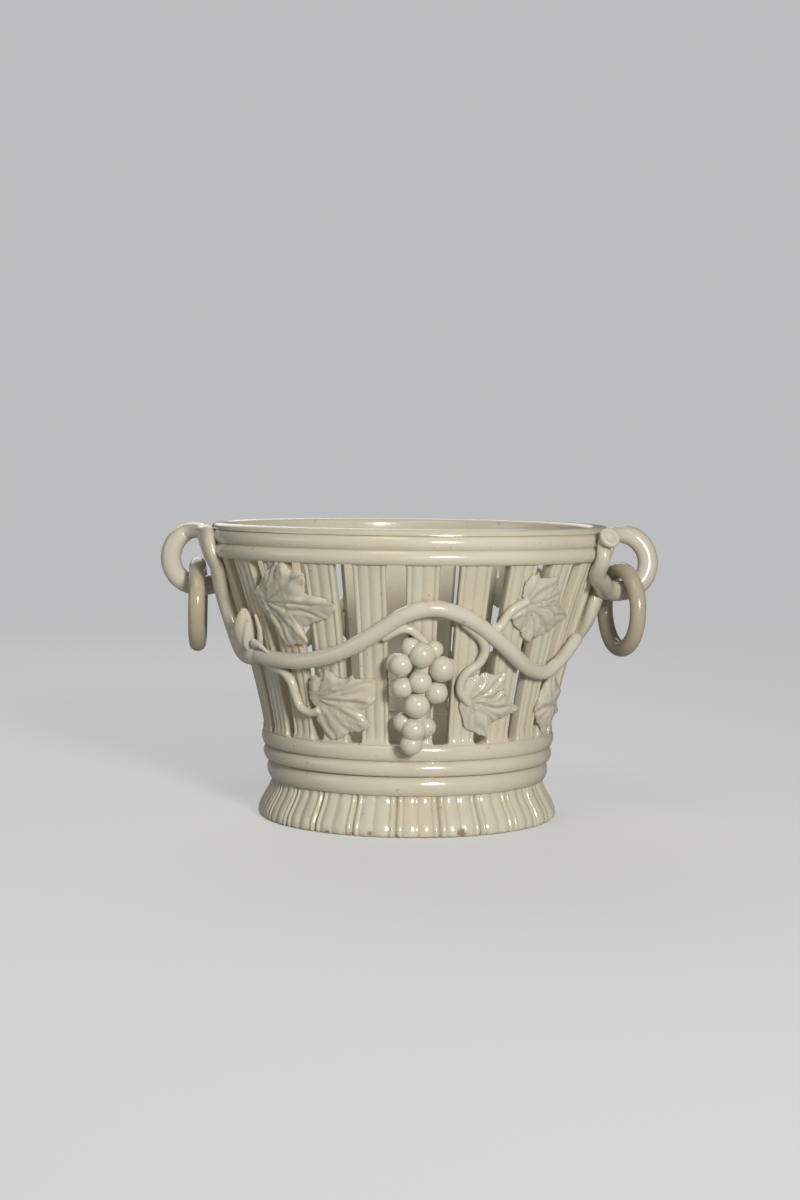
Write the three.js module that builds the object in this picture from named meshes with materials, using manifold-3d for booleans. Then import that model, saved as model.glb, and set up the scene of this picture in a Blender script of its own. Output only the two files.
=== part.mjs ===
// A pierced cachepot: a basket-shaped cover pot of cream-glazed earthenware.
// Reeded clay slats stand between a beaded lower band and a beaded rim, on a fluted, flared foot.
// A vine with leaves and a bunch of grapes is laid over the slats on each side of the pot. One end
// of each vine rises to the rim as a handle, curls into a loop there and carries a loose ring.
//
// Millimetres, +Z up, the front of the pot towards -Y, the middle of the resting face at the origin.
// Angles round the pot are in degrees from the front, and grow towards +X.
// Heights of ornament are measured up the pierced wall, from the foot of the slats.

import * as THREE from "three";
import { mergeVertices } from "three/addons/utils/BufferGeometryUtils.js";
import Module from "manifold-3d";

const wasm = await Module();
wasm.setup();

// What is left between two pieces that are luted together on a curved face.
const luteGap = 0.3;

// Pierced wall: slats between two bands. It opens like a trumpet, with little lean at the foot.
const slatCount = 24;
const firstSlatAngle = 3.6;
const slatHeight = 70;
const slatThickness = 4;
const slatFootWidth = 10.6;
const slatRimWidth = 12.8;
const wallFootRadius = 58.4;
const wallRimRadius = 79;
const wallFootLean = 0.2;
const slatReeds = [0.16, 0.34, 0.34, 0.16];
const slatReedDepth = 0.8;

// The slats are set by hand: their feet are spread sideways, most of all on the diagonals.
const handSpread = 3;

// Foot: a skirt of reeded strips, set in from the wall at its neck and flared down to its hem.
const footHeight = 15.5;
const footInset = 3;
const footFlare = 6.2;
const footWall = 5.4;
const hemRounding = 0.9;
const footReedDepth = 0.7;
const footSeamDepth = 1.3;

// Lower band: three beads. Proud is how far a bead stands out from the foot of the wall, relief is
// how deep the groove beside it is, and the depth is measured inwards from the wall.
const bandDepth = 5.6;
const lowBeadHeight = 7.5;
const lowBeadProud = -1;
const lowBeadRelief = 1.3;
const middleBeadHeight = 6;
const middleBeadProud = 0.5;
const middleBeadRelief = 1.2;
const topBeadHeight = 6.5;
const topBeadProud = 1.3;
const topBeadRelief = 0.9;

// Rim band: two beads and a low lip, on the same terms round the top of the wall.
const rimDepth = 4.4;
const rimBeadHeight = 5.5;
const rimBeadProud = 2.3;
const rimBeadRelief = 1.25;
const lipHeight = 2.5;
const lipProud = 1.6;

// Floor of the pot, a disc inside the lower band, resting on the top of the foot.
const floorThickness = 5;

// Vine: a rolled clay rod pressed on the slats, with thinner twigs.
// Each point is an angle round the pot and a height as a share of the pierced wall.
const vineDiameter = 6.2;
const twigDiameter = 3.6;
const vineCourse = [
  [-64, 0.468],
  [-50, 0.45],
  [-35, 0.458],
  [-22, 0.515],
  [-10.5, 0.622],
  [-1, 0.735],
  [7, 0.768],
  [16, 0.722],
  [31, 0.55],
  [42, 0.424],
  [52, 0.389],
  [62, 0.48],
  [70, 0.57],
];
const twigCourses = [
  [[-9, 0.64], [-2.6, 0.694], [1.8, 0.647], [4.2, 0.59]],
  [[-56, 0.452], [-50, 0.375], [-44, 0.281], [-40.5, 0.2], [-33, 0.165]],
  [[27, 0.6], [25.2, 0.51], [23.6, 0.43], [20.4, 0.4], [17.2, 0.35], [18.2, 0.27], [22, 0.235]],
  [[22, 0.66], [27.4, 0.655], [31, 0.75], [36, 0.8]],
];

// Bunch of grapes: balls of clay in a back layer and a front layer, over a flat core. Its middle is
// placed like a point of the vine, and its grapes by their way across and up from there.
const grapeDiameter = 9;
const grapeLayerStep = 3;
const bunchMiddle = [4, 0.3];
const bunchCoreDiameter = 9;
const bunchCourse = [[0, 16.8], [0, 7], [-0.6, -5.6], [-2.3, -16.8]];
const backGrapes = [
  [-9.8, 12.2], [-3.9, 18.2], [4.6, 17.3], [9.4, 9.8],
  [-6.7, -10.8], [2.5, -12.8],
];
const frontGrapes = [
  [0.2, 14.8], [-7.1, 11.6], [7.1, 9.8], [-0.2, 5.2],
  [-6.1, 2.2], [5.5, 0.5], [-1.3, -4.5], [-2.4, -13.5], [-2.9, -18.9],
];

// Vine leaves. An outline goes anticlockwise round the middle of the leaf, in points across and up.
const leafGap = 0.4;
const leafEdgeThickness = 0.9;
const leafCrown = 1.9;
const leafMiddleCrown = 1.1;
const leafShoulder = 0.65;
const leaves = [
  {
    name: "upper_left", angle: -39, height: 0.764,
    outline: [
      [22, 0], [12.8, 4.1], [9.1, 5], [10.9, 12.1], [5, 13], [2.9, 16.5], [-0.4, 16.5],
      [-5.5, 13.5], [-11.2, 8.9], [-17.1, 3.9], [-15.2, -3.3], [-10.1, -9.5], [-7.2, -14.3],
      [-2.9, -16], [6.9, -14.8], [5, -9.2], [10.5, -6.8], [16.6, -4.6], [19.5, -2.6],
    ],
  },
  {
    name: "lower_left", angle: -24, height: 0.257,
    outline: [
      [14.1, 7.9], [6.5, 7.8], [5.6, 9.4], [3.9, 8.1], [0.2, 7.8], [-4.5, 10.9], [-7.6, 9.7],
      [-8.6, 7.3], [-10.8, 8.7], [-13.8, 4.2], [-14.2, -1], [-11.9, -4.4], [-12.2, -9.5],
      [-7.3, -16.1], [-3.2, -16.7], [2.4, -13.7], [11.1, -11], [8.4, -5.1], [13.7, -0.2],
    ],
  },
  {
    name: "lower_right", angle: 27, height: 0.24,
    outline: [
      [17.4, -3.1], [10.9, 0.6], [7.8, 5], [7.7, 11], [-0.9, 11.9], [-5.3, 11.3], [-8.2, 9.4],
      [-9.7, 5.1], [-9.8, -2.2], [-6.6, -10], [-2.2, -11.9], [3.3, -14], [3.1, -9.4],
      [8.3, -7.2], [14.4, -5],
    ],
  },
  {
    name: "upper_right", angle: 42, height: 0.757,
    outline: [
      [19.7, -3.5], [13.8, -0.1], [10.3, 4.1], [6.5, 8.8], [5.5, 12.1], [-3.4, 11.8],
      [-4.7, 13.9], [-6.8, 12.9], [-9.5, 10.3], [-9.5, 5], [-7.6, 2.3], [-12, -0.1],
      [-13.2, -3.6], [-8.7, -7.8], [-4.4, -11.5], [-1.4, -13.1], [1.1, -11.7], [8, -10.6],
      [15, -7],
    ],
  },
  {
    name: "far_right", angle: 62, height: 0.2,
    outline: [
      [10.3, 3.8], [3.9, 8.3], [-4.3, 11.7], [-7.5, 3.8], [-8.7, -2.5], [-4.5, -7.8],
      [3.6, -13.5], [7.3, -8.4], [13.3, -5.7], [10, -0.3],
    ],
  },
  {
    name: "bud", angle: -65.5, height: 0.615,
    outline: [
      [6.4, 1.1], [3.9, 4.6], [0.3, 9], [-3.7, 4.6], [-5.9, 1], [-4.1, -3.6], [0.3, -8],
      [4.4, -3.6],
    ],
  },
];

// Handle: the end of the vine rises to the rim as a strap, curls out into a loop, comes back to the
// wall and ends, cut off, on the rim. On the wall a point is an angle and a share of the wall's
// height, and on the rim an angle and a height above the rim's foot. The loop between is an arc, and
// its middle is placed by its way out from the top of the wall and up from the rim's foot. Where the
// rod comes back to the wall, the third number says how far off the wall it still runs.
const handleDiameter = 8.4;
const strapOnWall = [[-66, 0.457], [-72, 0.493], [-76, 0.586], [-75.5, 0.7], [-73.5, 0.83]];
const strapOnRim = [[-71.5, 0.5], [-71.5, 7.4]];
const loopOut = 7.5;
const loopHeight = -1.7;
const loopRadius = 11.2;
const loopLean = 20;
const loopStart = 150;
const loopMiddle = 2.5;
const returnToWall = [[-98.5, 0.83, 0.9], [-106.5, 0.872, 0.3], [-113.5, 0.93, 0.2]];
const returnOnRim = [[-116, 1], [-116, 6]];
const cutEndTurn = 25;
const cutEndRise = 0.45;
const cutEndRun = 4;
const cutEndDiameter = 9;
const cutEndThickness = 2.4;

// Loose rings that hang in the loops, and how far each is turned about the vertical at rest.
const ringOuterDiameter = 39;
const ringCordDiameter = 7;
const ringTurns = { left: 3, right: 19 };
const ringPlay = 0.5;

// How finely the round forms are stepped.
const footSteps = 3;
const bandSegments = 40;
const beadSteps = 4;
const ballSides = 7;
const ballRows = 5;

const bandBeads = [
  { height: lowBeadHeight, radius: wallFootRadius + lowBeadProud, relief: lowBeadRelief },
  { height: middleBeadHeight, radius: wallFootRadius + middleBeadProud, relief: middleBeadRelief },
  { height: topBeadHeight, radius: wallFootRadius + topBeadProud, relief: topBeadRelief },
];
const rimBead = {
  height: rimBeadHeight, radius: wallRimRadius + rimBeadProud, relief: rimBeadRelief,
};
const rimBeads = [rimBead, rimBead];
const bandInnerRadius = wallFootRadius - bandDepth;
const rimInnerRadius = wallRimRadius - rimDepth;
const lipRadius = wallRimRadius + lipProud;
const rimReach = Math.max(rimBead.radius, lipRadius);
const footNeckRadius = wallFootRadius - footInset;
const slatFoot = footHeight + totalHeight(bandBeads);
const rimFoot = slatFoot + slatHeight;

const glaze = { body: 0xd8cfb4, relief: 0xddd4ba, ring: 0xb9b094 };
const halfTurn = Math.PI;
const fullTurn = 2 * Math.PI;

function totalHeight(beads) {
  return beads.reduce((sum, bead) => sum + bead.height, 0);
}

function radians(degrees) {
  return THREE.MathUtils.degToRad(degrees);
}

// Angle round the pot of a slat at its top and at its foot.
function slatAngle(slat) {
  return firstSlatAngle + (360 * slat) / slatCount;
}

function slatFootAngle(slat) {
  return slatAngle(slat) + handSpread * Math.sin(2 * radians(slatAngle(slat)));
}

// Outer radius of the pierced wall at a height above the foot of the slats.
function wallRadius(height) {
  const share = height / slatHeight;
  const spread = wallRimRadius - wallFootRadius - wallFootLean * slatHeight;
  return wallFootRadius + wallFootLean * height + spread * share * share;
}

// A place at an angle round the pot, a radius and a height above the foot of the slats.
function place(angle, radius, height) {
  const turn = radians(angle);
  return new THREE.Vector3(radius * Math.sin(turn), -radius * Math.cos(turn), slatFoot + height);
}

function onWall([angle, height], standoff) {
  return place(angle, wallRadius(height) + standoff, height);
}

function onRim([angle, height], standoff) {
  return place(angle, rimReach + standoff, slatHeight + height);
}

// Spots given as an angle and a share of the wall's height, with their middles off the wall.
function laySpots(spots, standoff) {
  return spots.map(([angle, share]) => onWall([angle, share * slatHeight], standoff));
}

// Spots given by their way across and up from the middle of the bunch.
function layBunch(spots, standoff) {
  return spots.map(([across, up]) => {
    const height = bunchMiddle[1] * slatHeight + up;
    const around = THREE.MathUtils.radToDeg(across / wallRadius(height));
    return onWall([bunchMiddle[0] + around, height], standoff);
  });
}

// A smooth course through such spots, drawn flat and then laid on the wall.
function layCourse(spots, standoff) {
  const corners = spots.map(([angle, share]) => new THREE.Vector2(angle, share));
  const course = new THREE.SplineCurve(corners).getPoints(spots.length * 4);
  return laySpots(course.map((spot) => [spot.x, spot.y]), standoff);
}

// Merges the shared corners of a closed geometry and drops triangles without area.
function weld(geometry) {
  geometry.deleteAttribute("normal");
  geometry.deleteAttribute("uv");
  const merged = mergeVertices(geometry, 1e-4);
  const corners = merged.index.array;
  const kept = [];
  for (let at = 0; at < corners.length; at += 3) {
    const [a, b, c] = corners.slice(at, at + 3);
    if (a !== b && b !== c && c !== a) kept.push(a, b, c);
  }
  merged.setIndex(kept);
  merged.computeVertexNormals();
  return merged;
}

function toSolid(geometry) {
  const welded = weld(geometry);
  return new wasm.Manifold(new wasm.Mesh({
    numProp: 3,
    vertProperties: Float32Array.from(welded.attributes.position.array),
    triVerts: Uint32Array.from(welded.index.array),
  }));
}

function toGeometry(solid) {
  const mesh = solid.getMesh();
  const geometry = new THREE.BufferGeometry();
  geometry.setAttribute("position", new THREE.BufferAttribute(mesh.vertProperties, 3));
  geometry.setIndex(new THREE.BufferAttribute(mesh.triVerts, 1));
  geometry.computeVertexNormals();
  return geometry;
}

function joined(solids) {
  return solids.reduce((whole, solid) => whole.add(solid));
}

// Cuts the neighbours out of a solid, and keeps the largest piece of what is left.
function carved(solid, neighbours) {
  const rest = neighbours.reduce((left, neighbour) => left.subtract(neighbour), solid);
  const pieces = rest.decompose();
  pieces.sort((one, other) => other.volume() - one.volume());
  return pieces[0];
}

function lathe(profile) {
  const points = profile.map(([radius, height]) => new THREE.Vector2(radius, height));
  const geometry = new THREE.LatheGeometry(points, bandSegments);
  geometry.rotateX(halfTurn / 2);
  return geometry;
}

// A round rod along a smooth line through the given places.
function rod(places, diameter, steps, sides) {
  const corners = [];
  for (let side = 0; side < sides; side++) {
    const turn = (fullTurn * side) / sides;
    corners.push(new THREE.Vector2(Math.cos(turn), Math.sin(turn)).multiplyScalar(diameter / 2));
  }
  const path = new THREE.CatmullRomCurve3(places, false, "centripetal");
  const settings = { extrudePath: path, steps };
  return toSolid(new THREE.ExtrudeGeometry(new THREE.Shape(corners), settings));
}

function ball(centre, diameter) {
  const geometry = new THREE.SphereGeometry(diameter / 2, ballSides, ballRows);
  geometry.translate(centre.x, centre.y, centre.z);
  return toSolid(geometry);
}

// Lathe profile of stacked half-round beads, from the bottom up.
function beadProfile(beads) {
  const points = [[beads[0].radius - beads[0].relief, 0]];
  let height = 0;
  for (const bead of beads) {
    for (let step = 1; step <= beadSteps; step++) {
      const turn = halfTurn * (step / beadSteps - 0.5);
      const radius = bead.radius - bead.relief * (1 - Math.cos(turn));
      points.push([radius, height + bead.height * (0.5 + 0.5 * Math.sin(turn))]);
    }
    height += bead.height;
  }
  return points;
}

function floorDisc() {
  const radius = bandInnerRadius - luteGap;
  const geometry = new THREE.CylinderGeometry(radius, radius, floorThickness, bandSegments);
  geometry.rotateX(halfTurn / 2);
  geometry.translate(0, 0, floorThickness / 2);
  return geometry;
}

// Lower band: its beads outside, a plain wall inside and a flat top for the slats.
function lowerBand() {
  const height = totalHeight(bandBeads);
  const start = [bandInnerRadius, 0];
  return lathe([start, ...beadProfile(bandBeads), [bandInnerRadius, height], start]);
}

// Rim band: flat below, where the slats meet it, and rolled over to the inside at the lip.
function rimBand() {
  const lipSteps = 4;
  const beadsTop = totalHeight(rimBeads);
  const start = [rimInnerRadius, 0];
  const profile = [start, ...beadProfile(rimBeads)];
  const middle = (lipRadius + rimInnerRadius) / 2;
  const half = (lipRadius - rimInnerRadius) / 2;
  for (let step = 0; step <= lipSteps; step++) {
    const turn = (halfTurn * step) / lipSteps;
    profile.push([middle + half * Math.cos(turn), beadsTop + lipHeight * Math.sin(turn)]);
  }
  profile.push(start);
  return lathe(profile);
}

// Radius of the flared foot at a height above its hem.
function footRadius(height) {
  const flare = THREE.MathUtils.smoothstep(footHeight - height, 0, footHeight * 0.9);
  const rounding = hemRounding * Math.max(0, 1 - height / (footHeight / footSteps));
  return footNeckRadius + footFlare * flare - rounding;
}

// Foot skirt: one reeded strip under each slat, side by side in a ring. The ring is extruded
// upright, and each level is then pushed out to the flare.
function footSkirt() {
  const outline = [];
  for (let strip = 0; strip < slatCount; strip++) {
    const from = (slatFootAngle(strip - 1) + slatFootAngle(strip)) / 2;
    const to = (slatFootAngle(strip) + slatFootAngle(strip + 1)) / 2;
    let share = 0;
    for (const reed of slatReeds) {
      const depth = share === 0 ? footSeamDepth : footReedDepth;
      outline.push([THREE.MathUtils.lerp(from, to, share), footNeckRadius - depth]);
      outline.push([THREE.MathUtils.lerp(from, to, share + reed / 2), footNeckRadius]);
      share += reed;
    }
  }
  const corners = outline.map(([angle, radius]) => {
    const turn = radians(angle) - halfTurn / 2;
    return new THREE.Vector2(radius * Math.cos(turn), radius * Math.sin(turn));
  });
  const shape = new THREE.Shape(corners);
  const hole = [];
  for (let side = 0; side < bandSegments; side++) {
    const turn = (-fullTurn * side) / bandSegments;
    const radius = footNeckRadius - footWall;
    hole.push(new THREE.Vector2(radius * Math.cos(turn), radius * Math.sin(turn)));
  }
  shape.holes.push(new THREE.Path(hole));
  const settings = { depth: footHeight, steps: footSteps, bevelEnabled: false };
  const geometry = new THREE.ExtrudeGeometry(shape, settings);
  const corner = geometry.attributes.position;
  for (let at = 0; at < corner.count; at++) {
    const radius = Math.hypot(corner.getX(at), corner.getY(at));
    const flared = (radius + footRadius(corner.getZ(at)) - footNeckRadius) / radius;
    corner.setXY(at, corner.getX(at) * flared, corner.getY(at) * flared);
  }
  return geometry;
}

// Section of a slat across its width, in shares of the width: flat behind, reeded in front.
function slatSection() {
  const points = [[0.5, 0], [0.5, slatThickness - slatReedDepth]];
  let side = 0.5;
  for (const reed of slatReeds) {
    const reedSteps = reed < 0.25 ? 2 : 3;
    for (let step = 1; step <= reedSteps; step++) {
      const bulge = Math.sin((halfTurn * step) / reedSteps);
      const outward = slatThickness - slatReedDepth * (1 - bulge);
      points.push([side - (reed * step) / reedSteps, outward]);
    }
    side -= reed;
  }
  points.push([-0.5, 0]);
  return new THREE.Shape(points.map(([across, outward]) => new THREE.Vector2(across, outward)));
}

// A slat is extruded straight, then widened upwards, bent out to the curve of the wall and turned
// aside at its foot.
function slat(footTurn) {
  const slatSteps = 3;
  const settings = { depth: slatHeight, steps: slatSteps, bevelEnabled: false };
  const geometry = new THREE.ExtrudeGeometry(slatSection(), settings);
  const corner = geometry.attributes.position;
  for (let at = 0; at < corner.count; at++) {
    const height = corner.getZ(at);
    const across = corner.getX(at) * THREE.MathUtils.lerp(slatFootWidth, slatRimWidth, height / slatHeight);
    const front = corner.getY(at) / slatThickness;
    const rounding = (front * across * across) / (2 * wallRadius(height));
    const outward = wallRadius(height) - slatThickness + corner.getY(at) - rounding;
    const turn = radians(footTurn) * (1 - height / slatHeight);
    const x = outward * Math.sin(turn) - across * Math.cos(turn);
    const y = -outward * Math.cos(turn) - across * Math.sin(turn);
    corner.setXY(at, x, y);
  }
  return geometry;
}

function vine(grown) {
  const vineSteps = 24;
  const vineSides = 8;
  const twigSteps = 6;
  const twigSides = 5;
  const course = layCourse(vineCourse, vineDiameter / 2 + luteGap);
  const stem = rod(course, vineDiameter + 2 * grown, vineSteps, vineSides);
  const tip = ball(course[course.length - 1], vineDiameter + 2 * grown);
  const twigs = twigCourses.map((twig) => {
    const laid = layCourse(twig, twigDiameter / 2 + luteGap);
    return rod(laid, twigDiameter + 2 * grown, twigSteps, twigSides);
  });
  return joined([stem, tip, ...twigs]);
}

function bunch(grown) {
  const coreSteps = 4;
  const coreSides = 6;
  const coreCourse = layBunch(bunchCourse, bunchCoreDiameter / 2 + luteGap);
  const core = rod(coreCourse, bunchCoreDiameter + 2 * grown, coreSteps, coreSides);
  const back = layBunch(backGrapes, grapeDiameter / 2 + luteGap);
  const front = layBunch(frontGrapes, grapeDiameter / 2 + luteGap + grapeLayerStep);
  const grapes = [...back, ...front].map((centre) => ball(centre, grapeDiameter + 2 * grown));
  return joined([core, ...grapes]);
}

// Loop of a handle seen in its own upright plane: an arc from above the rim, out and down to the
// bottom, where the ring hangs. The plane leans round the pot as the rod winds on.
function loopPlace(turn) {
  const out = loopRadius * Math.sin(radians(turn));
  const up = -loopRadius * Math.cos(radians(turn));
  const drift = -Math.tan(radians(loopLean)) * loopRadius * Math.sin(radians(turn / 2));
  const reach = wallRimRadius + loopOut + out;
  return new THREE.Vector3(-reach, loopMiddle + drift, rimFoot + loopHeight + up);
}

function handle(grown) {
  const handleSteps = 32;
  const handleSides = 8;
  const standoff = handleDiameter / 2 + luteGap;
  const strapWall = layCourse(strapOnWall, standoff);
  const strapRim = strapOnRim.map((point) => onRim(point, standoff));
  const loopSteps = 6;
  const loop = [];
  for (let step = 0; step <= loopSteps; step++) {
    loop.push(loopPlace(loopStart * (1 - step / loopSteps)));
  }
  const returnWall = returnToWall.map(([angle, share, off]) => {
    return onWall([angle, share * slatHeight], standoff + off);
  });
  const returnRim = returnOnRim.map((point) => onRim(point, standoff));
  const end = cutEndPlace(standoff);
  const places = [...strapWall, ...strapRim, ...loop, ...returnWall, ...returnRim, end];
  const rolled = rod(places, handleDiameter + 2 * grown, handleSteps, handleSides);
  return rolled.add(cutEnd(end, grown));
}

// The cut end leaves the rim sideways and is spread a little wider than the rod.
function cutEndDirection() {
  const turn = radians(cutEndTurn);
  return new THREE.Vector3(-Math.sin(turn), Math.cos(turn), cutEndRise).normalize();
}

function cutEndPlace(standoff) {
  const last = onRim(returnOnRim[returnOnRim.length - 1], standoff);
  return last.addScaledVector(cutEndDirection(), cutEndRun);
}

function cutEnd(middle, grown) {
  const radius = cutEndDiameter / 2 + grown;
  const thickness = cutEndThickness + 2 * grown;
  const discSides = 10;
  const disc = new THREE.CylinderGeometry(radius, radius, thickness, discSides);
  const lay = new THREE.Quaternion();
  lay.setFromUnitVectors(new THREE.Vector3(0, 1, 0), cutEndDirection());
  disc.applyQuaternion(lay);
  disc.translate(middle.x, middle.y, middle.z);
  return toSolid(disc);
}

function ring() {
  const cordSides = 8;
  const ringSegments = 20;
  const middle = (ringOuterDiameter - ringCordDiameter) / 2;
  const geometry = new THREE.TorusGeometry(middle, ringCordDiameter / 2, cordSides, ringSegments);
  geometry.rotateY(halfTurn / 2);
  return geometry;
}

// A leaf is a domed sheet that follows the wall: rings of corners from its middle to its edge, in
// front and behind.
function leaf({ angle, height, outline }) {
  const centre = height * slatHeight;
  const corners = [];
  const faces = [];
  const count = outline.length;
  const addCorner = (across, up, lift) => {
    const level = THREE.MathUtils.clamp(centre + up, luteGap, slatHeight - luteGap);
    const around = THREE.MathUtils.radToDeg(across / wallRadius(centre));
    const spot = place(angle + around, wallRadius(level) + leafGap + lift, level);
    corners.push(spot.x, spot.y, spot.z);
  };
  const addRing = (share, lift) => {
    outline.forEach(([across, up]) => addCorner(across * share, up * share, lift));
  };
  addCorner(0, 0, leafEdgeThickness + leafMiddleCrown);
  addRing(leafShoulder, leafEdgeThickness + leafCrown);
  addRing(1, leafEdgeThickness);
  addRing(1, 0);
  addRing(leafShoulder, 0);
  addCorner(0, 0, 0);
  const rings = 4;
  const last = 1 + rings * count;
  for (let at = 0; at < count; at++) {
    const next = (at + 1) % count;
    faces.push(0, 1 + at, 1 + next);
    for (let inner = 0; inner < rings - 1; inner++) {
      const a = 1 + inner * count;
      const b = a + count;
      faces.push(a + at, b + at, b + next, a + at, b + next, a + next);
    }
    faces.push(last, last - count + next, last - count + at);
  }
  const geometry = new THREE.BufferGeometry();
  geometry.setAttribute("position", new THREE.Float32BufferAttribute(corners, 3));
  geometry.setIndex(faces);
  return toSolid(geometry);
}

function piece(name, geometry, color) {
  const material = new THREE.MeshStandardMaterial({ color, roughness: 0.22, metalness: 0 });
  const mesh = new THREE.Mesh(geometry, material);
  mesh.name = name;
  return mesh;
}

// The pot itself: foot, floor, lower band, slats and rim, stacked face to face.
function pot() {
  const group = new THREE.Group();
  const foot = piece("foot_skirt", weld(footSkirt()), glaze.body);
  const floor = piece("base_floor", weld(floorDisc()), glaze.body);
  const band = piece("lower_band", weld(lowerBand()), glaze.body);
  const rim = piece("rim_band", weld(rimBand()), glaze.body);
  floor.position.z = footHeight;
  band.position.z = footHeight;
  rim.position.z = rimFoot;
  group.add(foot, floor, band, rim);
  for (let count = 0; count < slatCount; count++) {
    const number = String(count + 1).padStart(2, "0");
    const footTurn = slatFootAngle(count) - slatAngle(count);
    const mesh = piece(`slat_${number}`, weld(slat(footTurn)), glaze.body);
    mesh.rotation.z = radians(slatAngle(count));
    mesh.position.z = slatFoot;
    group.add(mesh);
  }
  return group;
}

// One side's ornament: the vine, its leaves and grapes, and the handle with its ring. It is built
// for the front of the pot, where the vine rises into the left handle.
function ornament(side, hand) {
  const group = new THREE.Group();
  const handleTool = handle(luteGap);
  const bunchTool = bunch(luteGap);
  const vineTool = vine(luteGap);
  const stem = carved(vine(0), [handleTool, bunchTool]);
  group.add(piece(`vine_${side}`, toGeometry(stem), glaze.relief));
  group.add(piece(`grapes_${side}`, toGeometry(bunch(0)), glaze.relief));
  group.add(piece(`handle_${hand}`, toGeometry(handle(0)), glaze.relief));
  for (const shape of leaves) {
    const sheet = carved(leaf(shape), [vineTool, handleTool, bunchTool]);
    const name = shape.name === "bud" ? `bud_${side}` : `leaf_${side}_${shape.name}`;
    group.add(piece(name, toGeometry(sheet), glaze.relief));
  }
  const hung = piece(`ring_${hand}`, weld(ring()), glaze.ring);
  const bottom = loopPlace(0);
  const drop = ringOuterDiameter / 2 - ringCordDiameter - handleDiameter / 2 - ringPlay;
  hung.position.set(bottom.x, bottom.y, bottom.z - drop);
  hung.rotation.z = radians(ringTurns[hand]);
  group.add(hung);
  return group;
}

const cachepot = new THREE.Group();
const front = ornament("front", "left");
const back = ornament("back", "right");
back.rotation.z = halfTurn;
cachepot.add(pot(), front, back);

export default cachepot;
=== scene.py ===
# %% [markdown]
# # A pierced cachepot of cream-glazed earthenware
# The pot is a basket: reeded clay slats between two beaded bands, on a fluted foot, with a vine, leaves
# and grapes laid over the slats, and a loose ring hung in the curl of each handle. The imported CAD
# model is loaded as a fixed frame. Its solids are plain, so finer pieces stand in for all but the
# floor.

# %% Load the frame
import math

import bmesh
import bpy
from mathutils import Matrix, Vector, noise


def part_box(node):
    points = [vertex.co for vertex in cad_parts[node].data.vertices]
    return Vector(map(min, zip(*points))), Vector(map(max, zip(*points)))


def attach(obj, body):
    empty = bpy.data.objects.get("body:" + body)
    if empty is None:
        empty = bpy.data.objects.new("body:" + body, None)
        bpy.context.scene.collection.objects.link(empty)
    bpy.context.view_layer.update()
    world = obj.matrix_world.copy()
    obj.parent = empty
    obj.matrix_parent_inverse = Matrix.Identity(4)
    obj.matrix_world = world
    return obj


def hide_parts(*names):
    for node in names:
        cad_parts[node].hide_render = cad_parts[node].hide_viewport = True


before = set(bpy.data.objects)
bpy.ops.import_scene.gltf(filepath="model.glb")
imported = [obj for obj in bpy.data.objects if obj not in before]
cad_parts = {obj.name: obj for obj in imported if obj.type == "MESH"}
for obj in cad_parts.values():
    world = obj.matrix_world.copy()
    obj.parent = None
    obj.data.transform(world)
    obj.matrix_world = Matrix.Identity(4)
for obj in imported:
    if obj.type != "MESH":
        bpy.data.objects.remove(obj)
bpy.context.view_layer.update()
MM = 0.001

# %% [markdown]
# ## The sizes that the pieces share
# The wall opens like a trumpet, so every piece on it is placed by an angle round the pot and a height
# above the foot of the slats. The same few sizes as in the CAD model place everything here.

# %% Sizes of the wall, the bands and the foot, in millimetres and degrees
SLAT_COUNT = 24
FIRST_SLAT_ANGLE = 3.6
SLAT_FOOT = 35.5
SLAT_HEIGHT = 70
SLAT_THICKNESS = 4
SLAT_FOOT_WIDTH = 10.6
SLAT_RIM_WIDTH = 12.8
SLAT_REEDS = (0.16, 0.34, 0.34, 0.16)
HAND_SPREAD = 3
WALL_FOOT_RADIUS = 58.4
WALL_RIM_RADIUS = 79
WALL_FOOT_LEAN = 0.2
BAND_FOOT = 15.5
BAND_INNER_RADIUS = 52.8
RIM_FOOT = SLAT_FOOT + SLAT_HEIGHT
RIM_INNER_RADIUS = 74.6
RIM_REACH = 81.2


def wall_radius(height):
    """Outer radius of the pierced wall at a height above the foot of the slats."""
    share = height / SLAT_HEIGHT
    spread = WALL_RIM_RADIUS - WALL_FOOT_RADIUS - WALL_FOOT_LEAN * SLAT_HEIGHT
    return WALL_FOOT_RADIUS + WALL_FOOT_LEAN * height + spread * share * share


def place(angle, radius, height):
    """A place at an angle round the pot, a radius and a height above the foot of the slats."""
    turn = math.radians(angle)
    return Vector((radius * math.sin(turn), -radius * math.cos(turn), SLAT_FOOT + height))


def on_wall(angle, height, standoff=0.0):
    return place(angle, wall_radius(height) + standoff, height)


def slat_angle(slat):
    return FIRST_SLAT_ANGLE + 360 * slat / SLAT_COUNT


def slat_foot_angle(slat):
    return slat_angle(slat) + HAND_SPREAD * math.sin(2 * math.radians(slat_angle(slat)))


def outward_at(spot):
    """The level way out from the pot's axis at a place."""
    return Vector((spot.x, spot.y, 0)).normalized()


def turns(count):
    """Angles in radians, spaced evenly round a circle."""
    return [2 * math.pi * step / count for step in range(count)]


def lerp(start, end, share):
    return start + (end - start) * share


def smooth(share):
    share = min(1.0, max(0.0, share))
    return share * share * (3 - 2 * share)


def hump(distance, reach):
    """One at no distance, and almost nothing beyond the reach."""
    return math.exp(-(distance / reach) ** 2 * 1.6)


def ridge(share, fullness=0.7, softness=0.2):
    """Height across a ridge, from none in one groove over one at the crest to none in the next."""
    round_top = math.sin(math.pi * share) ** fullness
    return (math.hypot(round_top, softness) - softness) / (math.hypot(1, softness) - softness)


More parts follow.
